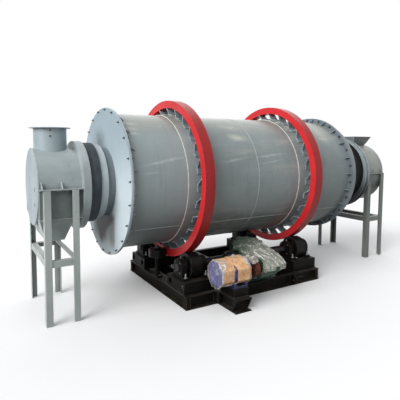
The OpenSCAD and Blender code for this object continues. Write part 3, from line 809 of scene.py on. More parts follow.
class Shape:
    """A mesh being made, in metres and in its own place."""

    def __init__(self) -> None:
        """Starts empty."""
        self.bm = bmesh.new()

    def add(self, part: "Shape", place: Matrix) -> None:
        """Adds a copy of another shape at a place.

        Args:
            part: Shape to copy.
            place: Where the copy stands.
        """
        mesh = bpy.data.meshes.new("part")
        part.bm.to_mesh(mesh)
        mesh.transform(place)
        self.bm.from_mesh(mesh)
        bpy.data.meshes.remove(mesh)

    def prism(self, sides: int, low: float, high: float, start: Vector, end: Vector) -> None:
        """Adds a capped prism or frustum between two points.

        Args:
            sides: Number of sides.
            low: Corner radius at the start.
            high: Corner radius at the end.
            start: Middle of the first end.
            end: Middle of the other end.
        """
        along = end - start
        turn = along.to_track_quat("Z", "Y").to_matrix().to_4x4()
        bmesh.ops.create_cone(self.bm, cap_ends=True, segments=sides, radius1=low, radius2=high,
                              depth=along.length, matrix=at(*((start + end) / 2)) @ turn)

    def stack(self, foot: Vector, way: Vector, parts: Sequence[tuple[float, ...]]) -> None:
        """Adds prisms one after another along a line.

        Args:
            foot: Point that heights are counted from.
            way: Direction of the line, of length 1.
            parts: (sides, first radius, last radius, first height, last height) of each.
        """
        for sides, low, high, start, end in parts:
            self.prism(int(sides), low, high, foot + way * start, foot + way * end)

    def bead(self, start: Sequence[float], end: Sequence[float], thick: float) -> None:
        """Adds a straight bead of weld with tapered ends.

        Args:
            start: First end.
            end: Other end.
            thick: Radius of the bead.
        """
        start, end = Vector(start), Vector(end)
        tip = (end - start).normalized() * thick
        self.prism(8, thick, thick, start + tip, end - tip)
        self.prism(8, thick * 0.4, thick, start, start + tip)
        self.prism(8, thick, thick * 0.4, end - tip, end)

    def turned(self, outline: Outline, place: Matrix, steps: int, closed: bool = False) -> None:
        """Adds an outline turned fully round the Z axis of a place.

        Args:
            outline: Points as (radius, height).
            place: Where the axis stands.
            steps: Number of steps of the turn.
            closed: Whether the outline's ends are joined.
        """
        ring = Shape()
        verts = [ring.bm.verts.new((r, 0, h)) for r, h in outline]
        pairs = list(zip(verts, verts[1:])) + ([(verts[-1], verts[0])] if closed else [])
        edges = [ring.bm.edges.new(pair) for pair in pairs]
        bmesh.ops.spin(ring.bm, geom=verts + edges, cent=(0, 0, 0), axis=UP, dvec=(0, 0, 0),
                       angle=2 * math.pi, steps=steps, use_merge=True, use_duplicate=False)
        bmesh.ops.remove_doubles(ring.bm, verts=ring.bm.verts, dist=1e-6)
        self.add(ring, place)

    def ring_bead(self, radius: float, thick: float, place: Matrix, steps: int) -> None:
        """Adds a round bead of weld along a circle.

        Args:
            radius: Radius of the circle.
            thick: Radius of the bead.
            place: Where the circle's axis stands.
            steps: Number of steps round it.
        """
        turns = (i * math.pi / 3 for i in range(6))
        self.turned([(radius + thick * math.cos(a), thick * math.sin(a)) for a in turns],
                    place, steps, closed=True)

    def moved(self, shift: Callable[[Vector], Vector]) -> None:
        """Moves every vertex by a function of its place."""
        for vert in self.bm.verts:
            vert.co = shift(vert.co.copy())

    def face_up(self) -> None:
        """Turns an open sheet's faces so that its highest one looks up."""
        bmesh.ops.recalc_face_normals(self.bm, faces=self.bm.faces)
        self.bm.normal_update()
        if max(self.bm.faces, key=lambda f: f.calc_center_median().z).normal.z < 0:
            bmesh.ops.reverse_faces(self.bm, faces=self.bm.faces)
            self.bm.normal_update()

    def piece(self, name: str, coat: Coat, body: Body = Body.PLANT,
              solid: bool = True) -> bpy.types.Object:
        """Makes the shape a piece of the object, without the walls between stacked prisms.

        Args:
            name: Name of the piece.
            coat: Its finish and the angle above which its edges stay sharp.
            body: Body that it rides on.
            solid: Whether its faces are turned outwards; an open film keeps its own.

        Returns:
            The new object.
        """
        bmesh.ops.remove_doubles(self.bm, verts=self.bm.verts, dist=1e-6)
        between = [f for f in self.bm.faces if all(len(e.link_faces) > 2 for e in f.edges)]
        bmesh.ops.delete(self.bm, geom=between, context="FACES_ONLY")
        if solid:
            bmesh.ops.recalc_face_normals(self.bm, faces=self.bm.faces)
        mesh = bpy.data.meshes.new(name)
        self.bm.to_mesh(mesh)
        self.bm.free()
        mesh.polygons.foreach_set("use_smooth", [True] * len(mesh.polygons))
        mesh.set_sharp_from_angle(angle=math.radians(coat.crease))
        mesh.materials.append(coat.material)
        made = put(name, mesh)
        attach(made, body.value)
        log.info("%s: %d faces on %s", name, len(mesh.polygons), body.value)
        return made


@dataclass(frozen=True)
class Bolt:
    """A hexagon bolt or nut with its washer; size is the thread's diameter in metres."""

    size: float
    stud: float = 0.0
    washer: bool = True

    def shape(self) -> Shape:
        """Builds it standing on the plane Z = 0.

        Returns:
            The washer, the head and the stud.
        """
        made, d, sunk = Shape(), self.size, 0.0005
        z = d * 0.18 if self.washer else 0.0
        edge, top = z + d * 0.55, z + d * 0.68
        parts = [(12, d * 1.12, d * 1.08, -sunk, z)] if self.washer else []
        parts += [(6, d * 0.87, d * 0.87, z - sunk, edge), (6, d * 0.87, d * 0.72, edge, top)]
        if self.stud:
            bevel = top + self.stud * 0.85
            parts += [(10, d / 2, d / 2, z, bevel), (10, d / 2, d * 0.38, bevel, top + self.stud)]
        made.stack(Vector(), UP, parts)
        return made

    def row(self, shape: Shape, places: Sequence[Matrix]) -> None:
        """Adds this bolt to a shape at each of some places, each turned a little.

        Args:
            shape: Shape that the bolts join.
            places: Where they stand.
        """
        own = self.shape()
        for i, place in enumerate(places):
            shape.add(own, place @ Matrix.Rotation(i * BOLT_TURN, 4, "Z"))


# ---------- Sub-assemblies ----------


def cover(finish: Finish, *nodes: str) -> None:
    """Gives carried-over nodes a finish.

    Args:
        finish: The finish.
        nodes: Names of the nodes.
    """
    material = finish.make()
    for name in nodes:
        made = frame["nodes"][name]
        if not made.material_slots:
            made.data.materials.append(material)
        for slot in made.material_slots:
            slot.material = material
        log.info("%s: %s", name, material.name)


def worn_by(node: str) -> bpy.types.Material:
    """The finish that a carried-over node wears."""
    return frame["nodes"][node].material_slots[0].material


def span(node: str) -> tuple[Vector, Vector]:
    """Lowest and highest corner of a node as vectors."""
    low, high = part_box(node)
    return Vector(low), Vector(high)


@dataclass
class Finishes:
    """The small finishes that several sub-assemblies share."""

    zinc: Coat
    dark: Coat
    weld: Coat
    cream: Coat
    black_weld: Coat
    film: Coat
    bag_film: Coat
    thick_film: Coat


class Assembly:
    """A sub-assembly, which paints its carried-over nodes and adds its small parts."""

    def dress(self) -> None:
        """Paints its nodes; the wraps have none of their own."""

    def build(self, shared: Finishes) -> None:
        """Adds its small parts."""
        raise NotImplementedError


@dataclass
class Drum(Assembly):
    """The turning drum: shell, rims, end plate, cap, necks and wear pads.

    Sizes are in metres; turns are angles from the top towards the drive side, in degrees.
    """

    axis: float
    shell: float
    face: float
    back: float
    rim_in: float
    pads: tuple[float, float, float, float]
    collar: float
    feed_collar: float
    count: int = 22
    out_turn: float = 4.0
    in_turn: float = 14.4
    out_circle: float = 0.791
    in_circle: float = 0.783
    flange: float = 0.014
    seam_turns: tuple[float, float, float] = (127.5, 128.1, 126.6)

    def at(self, x: float, radius: float, degrees: float) -> Vector:
        """Point on the drum at a distance from its axis and a turn from the top."""
        a = math.radians(degrees)
        return Vector((x, -radius * math.sin(a), self.axis + radius * math.cos(a)))

    def dress(self) -> None:
        """Paints the turning nodes."""
        # The shell paint holds painted light, shade, reflections and sheen.
        cover(ShellPaint("drum_shell_paint", "8C9697", "7E8888", "4B4C46", "B4BDBE", 0.30, 0.3,
                         patch=1.3, scratch=0.2, corner_grime_and_shade=0.25, top=self.axis + self.shell),
              "drum_shell", "tyre_pads")
        cover(Paint("rim_paint", "A9B7BF", "96A3AA", "4A4B48", "DCE3E6", 0.4, patch=3.0,
                    reach=0.03, corner_grime_and_shade=0.7), "discharge_rim_flange")
        # Painted shade: a darker copy of the rim paint for the feed end's rim.
        cover(Paint("feed_rim_shaded_paint", "747F85", "666F75", "3E403F", "DCE3E6", 0.4, 0.3,
                    patch=3.0, reach=0.03, corner_grime_and_shade=0.75), "feed_rim_flange")
        cover(Paint("cap_paint", "8B9496", "7B8485", "474843", "C2C9CA", 0.42, patch=2.5),
              "feed_end_cap")
        # The end plate paint holds painted shade, shadow and light round the neck.
        cover(PlatePaint("end_plate_paint", "CBD8DD", "C1CFD5", "6C7274", "E4EAED", 0.40, 0.09,
                         patch=1.8, scratch=0.35, corner_grime_and_shade=0.3, edge=0.005, centre=self.axis),
              "discharge_end_plate")
        # Painted shade on the neck inside its collar.
        cover(NeckPaint("neck_paint", "B6BFC2", "A4ADB0", "43464A", "D6DDDE", 0.5,
                        centre=self.axis, collar=self.collar - 0.003), "discharge_neck")
        # Painted shade: the feed neck is a dark copy of the neck paint, darker still inside its
        # collar.
        cover(NeckPaint("feed_neck_paint", "2C3032", "25292B", "16181A", "6D7476", 0.6, 0.2,
                        centre=self.axis, collar=self.feed_collar - 0.003, shaded_tube="1B1E20"),
              "feed_neck")

    def build(self, shared: Finishes) -> None:
        """Adds the seams and the bolts of both rims.

        Args:
            shared: Finishes that several sub-assemblies use.
        """
        rings, seams, nuts, heads = Shape(), Shape(), Shape(), Shape()
        for i, x in enumerate(self.pads):
            inward = 0.003 if i % 2 else -0.003
            rings.ring_bead(self.shell + 0.006, 0.0034, to_x(x + inward, 0, self.axis), 120)
        rings.piece("pad_edge_seams", shared.cream, Body.DRUM)
        seams.ring_bead(self.shell - 0.0005, 0.0042, to_x(0.0, 0, self.axis), 120)
        runs = ((self.face + 0.11, self.pads[0]), (self.pads[1], self.pads[2]),
                (self.pads[3], self.back - 0.01))
        for turn, (start, end) in zip(self.seam_turns, runs):
            ends = (self.at(x, self.shell - 0.0008, turn) for x in (start + 0.006, end - 0.006))
            seams.bead(*ends, 0.0036)
        seams.piece("drum_seams", shared.weld, Body.DRUM)

        rows = ((nuts, Bolt(0.0115, 0.010), self.out_circle, self.out_turn, self.face, -1),
                (nuts, Bolt(0.014, 0.008), self.in_circle, self.in_turn,
                 self.rim_in + self.flange, 1),
                (heads, Bolt(0.016), self.out_circle, self.out_turn,
                 -self.rim_in + self.flange, 1),
                (heads, Bolt(0.016), self.in_circle, self.in_turn,
                 self.rim_in - self.flange, -1))
        for shape, bolt, radius, turn, x, sign in rows:
            first = math.radians(turn) * sign + (math.pi if sign > 0 else 0.0)
            bolt.row(shape, circle(radius, self.count, first, to_x(x, 0, self.axis, sign)))
        nuts.piece("rim_nuts", shared.dark, Body.DRUM)
        heads.piece("rim_bolt_heads", shared.dark, Body.DRUM)


@dataclass
class Tyres(Assembly):
    """The two riding tyres on their spring plates; sizes in metres."""

    axis: float
    centres: tuple[float, float]
    width: float
    inner: float
    outer: float
    pad: float
    count: int = 26
    turn: float = 3.0
    foot_end: float = 0.130
    leg: float = 0.012

    def dress(self) -> None:
        """Paints the tyres and the spring plates."""
        cover(TyrePaint("tyre_paint", "CE2B30", "C4262B", "5A1F20", "D2605C", 0.34, 0.25,
                        patch=2.4, scratch=0.3, edge_wear_and_highlight=0.5, corner_grime_and_shade=0.3, centre=self.axis,
                        outer=self.outer), "discharge_tyre", "feed_tyre")
        # Edge wear and painted highlight: near-white edges on the spring plates.
        cover(Paint("spring_paint", "7F8B90", "69757B", "2F3335", "F2F6F7", 0.42, patch=6.0,
                    reach=0.06, corner_grime_and_shade=0.75, edge=0.0055, edge_wear_and_highlight=1.3),
              "discharge_tyre_springs", "feed_tyre_springs")

    def build(self, shared: Finishes) -> None:
        """Adds the weld beads that hold each spring plate.

        Args:
            shared: Finishes that several sub-assemblies use.
        """
        welds, pair, half = Shape(), Shape(), self.width / 2 - 0.004
        foot = math.sqrt(self.pad ** 2 - self.foot_end ** 2) + 0.003
        top = math.sqrt(self.inner ** 2 - self.leg ** 2) - 0.003
        for y, z, thick in ((-self.foot_end - 0.002, foot, 0.005), (self.leg + 0.002, top, 0.004)):
            pair.bead((-half, y, z), (half, y, z), thick)
        for x in self.centres:
            for i in range(self.count):
                turn = math.radians(self.turn + i * 360 / self.count)
                welds.add(pair, at(x, 0, self.axis) @ Matrix.Rotation(turn, 4, "X"))
        welds.piece("spring_plate_welds", shared.weld, Body.DRUM)


@dataclass
class RollerStations(Assembly):
    """Support rollers, their bearings on pedestals, and the thrust rollers; sizes in metres."""

    tyre_x: float
    shaft_y: float
    shaft_z: float
    foot_top: float
    bearing_x: float = 0.130
    half_width: float = 0.035
    foot_bolt: float = 0.116
    cap_circle: float = 0.078
    crown: float = 0.096
    weld_y: float = 0.325
    thrust_foot: tuple[float, float] = (0.056, 0.020)

    def dress(self) -> None:
        """Paints the rollers, shafts, bearings, pedestals and thrust gear."""
        cover(Steel("roller_steel", "131111", "2A1E17", 0.3, 0.36, 0.3, 0.14),
              "front_discharge_roller", "front_feed_roller", "rear_discharge_roller",
              "rear_feed_roller", "outer_thrust_roller", "inner_thrust_roller")
        cover(Steel("shaft_steel", "202224", "38271D", 0.3, 0.34, 0.6, 0.3), "drive_shaft")
        cover(Paint("station_paint", "0C0A09", "080706", "221E1A", "57524C", 0.5, 0.09,
                    patch=5.0, corner_grime_and_shade=0.3, edge_wear_and_highlight=0.5, dust=0.10),
              "roller_bearings", "pedestals", "thrust_posts")

    def build(self, shared: Finishes) -> None:
        """Adds foot studs, cap bolts, grease nipples and the pedestals' welds.

        Args:
            shared: Finishes that several sub-assemblies use.
        """
        studs, caps, nipples, welds = Shape(), Shape(), Shape(), Shape()
        low, high = span("pedestals")
        for sx, sy in CORNERS:
            y = sy * self.shaft_y
            for e in ENDS:
                x = sx * self.tyre_x + e * self.bearing_x
                Bolt(0.018, 0.030).row(
                    studs, [at(x, y + s * self.foot_bolt, self.foot_top) for s in ENDS])
                for s in ENDS:
                    face = to_x(x + s * self.half_width, y, self.shaft_z, s)
                    Bolt(0.010).row(caps, circle(self.cap_circle, 4, math.pi / 4, face))
                nipples.stack(Vector((x, y, self.shaft_z + self.crown)), UP, (
                    (6, 0.008, 0.008, -0.002, 0.008), (10, 0.004, 0.003, 0.008, 0.016),
                    (10, 0.005, 0.005, 0.016, 0.021)))
            edge, z = sx * (high.x + 0.001), low.z + 0.002
            welds.bead((edge, sy * self.weld_y, z), (edge, sy * (high.y - 0.003), z), 0.006)
        studs.piece("bearing_foot_nuts", shared.zinc)
        caps.piece("bearing_cap_bolts", shared.dark)
        nipples.piece("grease_nipples", shared.zinc)
        welds.piece("pedestal_welds", shared.black_weld)
        self.build_thrust(shared)

    def build_thrust(self, shared: Finishes) -> None:
        """Adds a washer and nut on each thrust pin and bolts on its foot.

        Args:
            shared: Finishes that several sub-assemblies use.
        """
        made, (foot, top), (reach, thick) = Shape(), span("thrust_posts"), self.thrust_foot
        for name in ("outer_thrust_roller", "inner_thrust_roller"):
            low, high = span(name)
            x = (low.x + high.x) / 2
            Bolt(0.030, 0.008).row(made, [at(x, 0, top.z)])
            Bolt(0.012).row(made, [at(x, s * reach, foot.z + thick) for s in ENDS])
        made.piece("thrust_post_nuts", shared.dark)


@dataclass
class BaseFrame(Assembly):
    """The base of channels with its lugs, and the outrigger and stool under the motor."""

    lugs: tuple[float, float]
    web_y: float
    height: float
    lug_half: float = 0.008
    inset: float = 0.014

    def dress(self) -> None:
        """Paints the frame black with dust on its flanges."""
        cover(Paint("frame_black", "120F0C", "0C0A08", "2A251F", "77726A", 0.52, 0.09,
                    patch=3.0, corner_grime_and_shade=0.35, edge=0.0045, edge_wear_and_highlight=0.5, dust=0.14, scratch=0.3,
                    reach=0.07), "base_frame", "lifting_lugs", "outrigger", "motor_stool")

    def build(self, shared: Finishes) -> None:
        """Adds weld beads at the lugs, the frame's corners and the stool.

        Args:
            shared: Finishes that several sub-assemblies use.
        """
        welds = Shape()
        for x in self.lugs:
            for s, e in CORNERS:
                side, y = x + e * (self.lug_half + 0.001), s * (self.web_y + 0.001)
                welds.bead((side, y, self.inset), (side, y, self.height - self.inset), 0.005)
        (x0, y0, _), (x1, y1, _) = span("motor_stool")
        x0, y0, x1, y1 = x0 + 0.003, y0 + 0.003, x1 - 0.003, y1 - 0.003
        loop = [(x, y, self.height + 0.002) for x, y in ((x0, y0), (x1, y0), (x1, y1), (x0, y1))]
        for start, end in zip(loop, loop[1:] + loop[:1]):
            welds.bead(start, end, 0.005)
        low, high = span("outrigger")
        for x in (low.x + 0.002, high.x - 0.002):
            welds.bead((x, high.y + 0.002, self.inset),
                       (x, high.y + 0.002, self.height - 0.012), 0.005)
        welds.piece("frame_welds", shared.black_weld)


def eight(angle: float) -> float:
    """How much further out an octagon with a flat top is than its inner circle."""
    off = angle - math.radians(45) * round(angle / math.radians(45))
    return 1 / math.cos(off)


def crumple(point: Vector, often: float, seed: float) -> float:
    """Folded noise from 0 to about 1 at a point, the same in every run."""
    return abs(noise.noise(point * often + Vector((seed, seed * 1.7, -seed)))) * 1.6


def kept(value: float) -> float:
    """The value held between 0 and 1."""
    return max(0.0, min(1.0, value))


@dataclass
class Wraps(Assembly):
    """Cardboard and clear film round the motor and the reducer.

    Sizes are in metres. Each station of the bag is its distance behind the nose and the
    heights of its hem, side and ridge over the shafts' axis.
    """

    motor_x0: float
    motor_x1: float
    motor_r: float
    y: float
    z: float
    shaft_y: float
    nose_y: float
    card: float = 0.0045
    open_below: float = 52.0
    stations: tuple[tuple[float, ...], ...] = (
        (-0.020, -0.010, 0.004, 0.006), (0.000, -0.024, 0.028, 0.032),
        (0.022, -0.046, 0.050, 0.054), (0.064, -0.072, 0.080, 0.084),
        (0.118, -0.112, 0.106, 0.110), (0.155, -0.140, 0.114, 0.118),
        (0.210, -0.192, 0.127, 0.131), (0.290, -0.218, 0.146, 0.151),
        (0.330, -0.231, 0.162, 0.176), (0.415, -0.234, 0.184, 0.212),
        (0.545, -0.234, 0.196, 0.214), (0.660, -0.234, 0.172, 0.210))
    end_over: Outline = (
        (0.0055, -0.001), (0.0080, -0.012), (0.0085, -0.026), (0.0080, -0.040))
    shaft_over: Outline = (
        (0.0, 0.006), (0.009, 0.002), (0.0125, -0.004), (0.013, -0.018), (0.0125, -0.030))
    hem: Outline = (
        (-0.001, 0.0080), (0.004, 0.0055), (0.0072, 0.0005), (0.0078, -0.005),
        (0.0066, -0.0055), (0.0052, -0.001), (0.002, 0.0035), (-0.001, 0.0060))

    def around(self, x: float, radius: float, degrees: float) -> Vector:
        """Point round the motor at a turn from the top towards the front."""
        a = math.radians(degrees)
        return Vector((x, self.y - radius * math.sin(a), self.z + radius * math.cos(a)))

    def beyond(self, outline: Outline) -> list[tuple[float, float]]:
        """An outline whose radii are counted from the motor's own."""
        return [(self.motor_r + r, h) for r, h in outline]

    def card_length(self, name: str, ends: tuple[float, float], lap: float, inner: float,
                    seed: float, finish: Card) -> None:
        """Bends one blank of cardboard round the motor.

        Args:
            name: Name of the piece.
            ends: Where the blank begins and ends along the motor.
            lap: How far its end at the gap reaches over the top.
            inner: Distance of its flats from the motor's axis.
            seed: Picks its creases.
            finish: Cardboard finish.
        """
        limit = 180 - self.open_below
        sheet = Shape()
        bmesh.ops.create_grid(sheet.bm, x_segments=22, y_segments=96, size=0.5)

        def bend(flat: Vector) -> Vector:
            """Takes a point of the flat blank to its place.

            Args:
                flat: Point of the blank.

            Returns:
                Its place round the motor.
            """
            degrees = flat.y * 2 * limit
            over = lap * kept((72 - abs(degrees)) / 26)
            start, end = ends[0] + min(0.0, over), ends[1] + max(0.0, over)
            x = start + (end - start) * (flat.x + 0.5)
            radius = inner * eight(math.radians(degrees))
            place = self.around(x, radius, degrees)
            dent = crumple(place, 17, seed) * 0.0030 + crumple(place, 60, seed + 3) * 0.0010
            x += (crumple(place, 9, seed + 5) - 0.3) * 0.006
            return self.around(x, radius + dent, degrees)

        sheet.moved(bend)
        sheet.face_up()
        bmesh.ops.solidify(sheet.bm, geom=sheet.bm.faces[:], thickness=-self.card)
        made = sheet.piece(name, Coat(Slot.CARD, finish.make(), 28))
        girth = 2 * math.radians(limit) * inner * 1.06
        ends[1] - ends[0] + abs(lap) * 0.4
        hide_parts("motor_card_wraps")

    def end_film(self, name: str, x: float, sign: int, outline: Outline, coat: Coat) -> None:
        """Stretches a round of film over one end of the motor.

        Args:
            name: Name of the piece.
            x: Where the motor's end is.
            sign: 1 if the end looks along +X, -1 along -X.
            outline: (radius, height over the end) from the middle outwards.
            coat: Film finish.
        """
        film = Shape()
        film.turned(outline, to_x(x, self.y, self.z, sign), 96)
        rim = max(r for r, _ in outline)

        def settle(place: Vector) -> Vector:
            """Draws the round out to eight sides and creases it.

            Args:
                place: Point of the turned film.

            Returns:
                Where it settles.
            """
            dy, dz = place.y - self.y, place.z - self.z
            angle = math.atan2(-dy, dz)
            share = kept(math.hypot(dy, dz) / rim * 2 - 1) ** 2
            fold = crumple(place, 30, 2.0) * 0.004 * (0.3 + share)
            grow = 1 + (eight(angle) - 1) * share + fold * 0.5 * share / rim
            back = max(0.0, (x - place.x) * sign)
            drawn = max(0.0, 1 - abs(angle - 0.45) / 0.9) * 2.2 - 0.75
            return Vector((place.x - sign * back * drawn + sign * fold * (1 - share * 0.6),
                           self.y + dy * grow, self.z + dz * grow))

        film.moved(settle)
        made = film.piece(name, coat)
        hole = outline[0][0]
        width = 2 * (hole + sum(math.dist(a, b) for a, b in zip(outline, outline[1:])))
        math.pi * (width ** 2 / 4 - hole ** 2)

    def film_hem(self, coat: Coat) -> None:
        """Adds the gathered hem where the end film meets the cardboard.

        Args:
            coat: Slot and finish of the film.
        """
        edge = Shape()
        edge.turned(self.beyond(self.hem), to_x(self.motor_x0, self.y, self.z, -1), 96,
                    closed=True)

        def ruffle(place: Vector) -> Vector:
            """Draws the hem out to eight sides and ruffles it.

            Args:
                place: Point of the turned hem.

            Returns:
                Where it settles.
            """
            dy, dz = place.y - self.y, place.z - self.z
            grow = eight(math.atan2(-dy, dz)) + crumple(place, 34, 7.7) * 0.02
            return Vector((place.x - crumple(place, 45, 1.1) * 0.004, self.y + dy * grow,
                           self.z + dz * grow))

        edge.moved(ruffle)
        made = edge.piece("motor_film_hem", coat)
        2 * math.pi * (self.motor_r + 0.01) * 1.06

    def bag_section(self, off: float) -> list[tuple[float, float]]:
        """Half outline of the bag over the reducer, from its hem up to its ridge.

        Args:
            off: How far behind the joint flange's front end.

        Returns:
            Points as (distance from the middle, height above the floor).
        """
        pairs = zip(self.stations, self.stations[1:])
        before, after = next((pair for pair in pairs if pair[1][0] >= off), self.stations[-2:])
        share = (off - before[0]) / (after[0] - before[0])
        hem, side, ridge = (self.z + a + (b - a) * share for a, b in zip(before[1:], after[1:]))
        nose = kept((off + 0.020) / 0.022) ** 0.35
        foot = 0.131 + 0.027 * kept((off - 0.20) / 0.12)
        narrow = 0.112 - 0.7 * min(0.030, ridge - side)
        half = ((foot, hem), (0.141, self.z - 0.03), (0.141, self.z + 0.024),
                (0.128, self.z + (side - self.z) * 0.4 + 0.03),
                (0.127, max(side, self.z + 0.026)), (narrow, ridge - 0.006),
                (narrow * 0.55, ridge + 0.002), (0.0, ridge + 0.003))
        return [(x * nose, z) for x, z in half]

    def bag(self, coat: Coat) -> None:
        """Pulls a film bag over the reducer, with openings round its shafts.

        Args:
            coat: Slot and finish of the film.
        """
        film = Shape()
        bmesh.ops.create_grid(film.bm, x_segments=72, y_segments=64, size=0.5)
        start, end = self.stations[0][0], self.shaft_y + 0.100 - self.nose_y

        def drape(flat: Vector) -> Vector:
            """Takes a point of the flat film to its place.

            Args:
                flat: Point of the sheet, from -0.5 to 0.5 each way.

            Returns:
                Its place on the reducer.
            """
            off = start + (end - start) * (flat.y + 0.5) ** 1.25
            half = self.bag_section(off)
            walk = (1 - abs(flat.x) * 2) * (len(half) - 1)
            i = min(int(walk), len(half) - 2)
            w = walk - i
            x, z = (a * (1 - w) + b * w for a, b in zip(half[i], half[i + 1]))
            return Vector((x if flat.x > 0 else -x, self.nose_y + off, z))

        film.moved(drape)
        for _ in range(3):
            bmesh.ops.smooth_vert(film.bm, verts=film.bm.verts, factor=0.5, use_axis_x=True,
                                  use_axis_y=True, use_axis_z=True)
        film.face_up()
        for vert in film.bm.verts:
            fold = crumple(vert.co, 12, 4.0) * 0.006 + crumple(vert.co, 31, 9.0) * 0.004
            vert.co += vert.normal * (fold + 0.001)
        holes = []
        for face in film.bm.faces:
            x, y, z = face.calc_center_median()
            near = (math.hypot(y - shaft, z - self.z) < reach
                    for shaft, reach in ((self.y, 0.070), (self.shaft_y, 0.096)))
            if abs(x) > 0.09 and any(near):
                holes.append(face)
        bmesh.ops.delete(film.bm, geom=holes, context="FACES")
        made = film.piece("reducer_film", coat, solid=False)

    def lumps(self, mid: float, coat: Coat) -> None:
        """Adds the bunched balls of film.

        Args:
            mid: Middle of the gap between the lengths of cardboard.
            coat: Film finish.
        """
        bunches, r = Shape(), self.motor_r
        for place, size, seed in (
                (self.around(-0.516, r + 0.026, 3), (0.022, 0.018, 0.028), 1),
                ((self.motor_x1 + 0.095, self.y - 0.060, self.z + 0.104),
                 (0.056, 0.046, 0.044), 5),
                ((self.motor_x1 + 0.025, self.y - 0.030, self.z + 0.112),
                 (0.042, 0.040, 0.034), 3),
                (self.around(mid - 0.004, r + 0.004, 66), (0.014, 0.010, 0.020), 6),
                (self.around(-0.640, r + 0.002, 131), (0.115, 0.014, 0.016), 8)):
            ball = Shape()
            bmesh.ops.create_icosphere(ball.bm, subdivisions=4, radius=1.0)
            for vert in ball.bm.verts:
                vert.co *= (0.62 + crumple(vert.co, 1.5, seed) * 0.4
                            + crumple(vert.co, 4.5, seed) * 0.35)
            bunches.add(ball, at(*place) @ Matrix.Diagonal((*size, 1.0)))
        bunches.piece("bunched_film", coat)

    def build(self, shared: Finishes) -> None:
        """Adds the cardboard, both end films, the hem, the bag and the bunched film.

        Args:
            shared: Finishes that several sub-assemblies use.
        """
        mid, r = (self.motor_x0 + self.motor_x1) / 2 - 0.016, self.motor_r
        self.card_length("motor_card_left", (self.motor_x0 + 0.0025, mid - 0.024), 0.024,
                         r + 0.001, 1.3, Card("cardboard_brown", "D39F72", "EBC49C"))
        self.card_length("motor_card_right", (mid + 0.022, self.motor_x1 - 0.012), -0.020,
                         r + 0.0065, 6.1, Card("cardboard_pale", "D9A576", "F0C9A0"))
        self.end_film("motor_end_film", self.motor_x0, -1,
                      [(0.0, 0.012), (0.03, 0.013), (0.06, 0.011), (0.09, 0.012),
                       (0.115, 0.010), (r - 0.010, 0.007), (r - 0.001, 0.004),
                       *self.beyond(self.end_over)], shared.film)
        self.end_film("motor_shaft_film", self.motor_x1, 1,
                      [(r * 0.73, 0.006), (r * 0.8, 0.010), (r * 0.9, 0.009),
                       *self.beyond(self.shaft_over)], shared.film)
        self.film_hem(shared.thick_film)
        self.bag(shared.bag_film)
        self.lumps(mid, shared.thick_film)


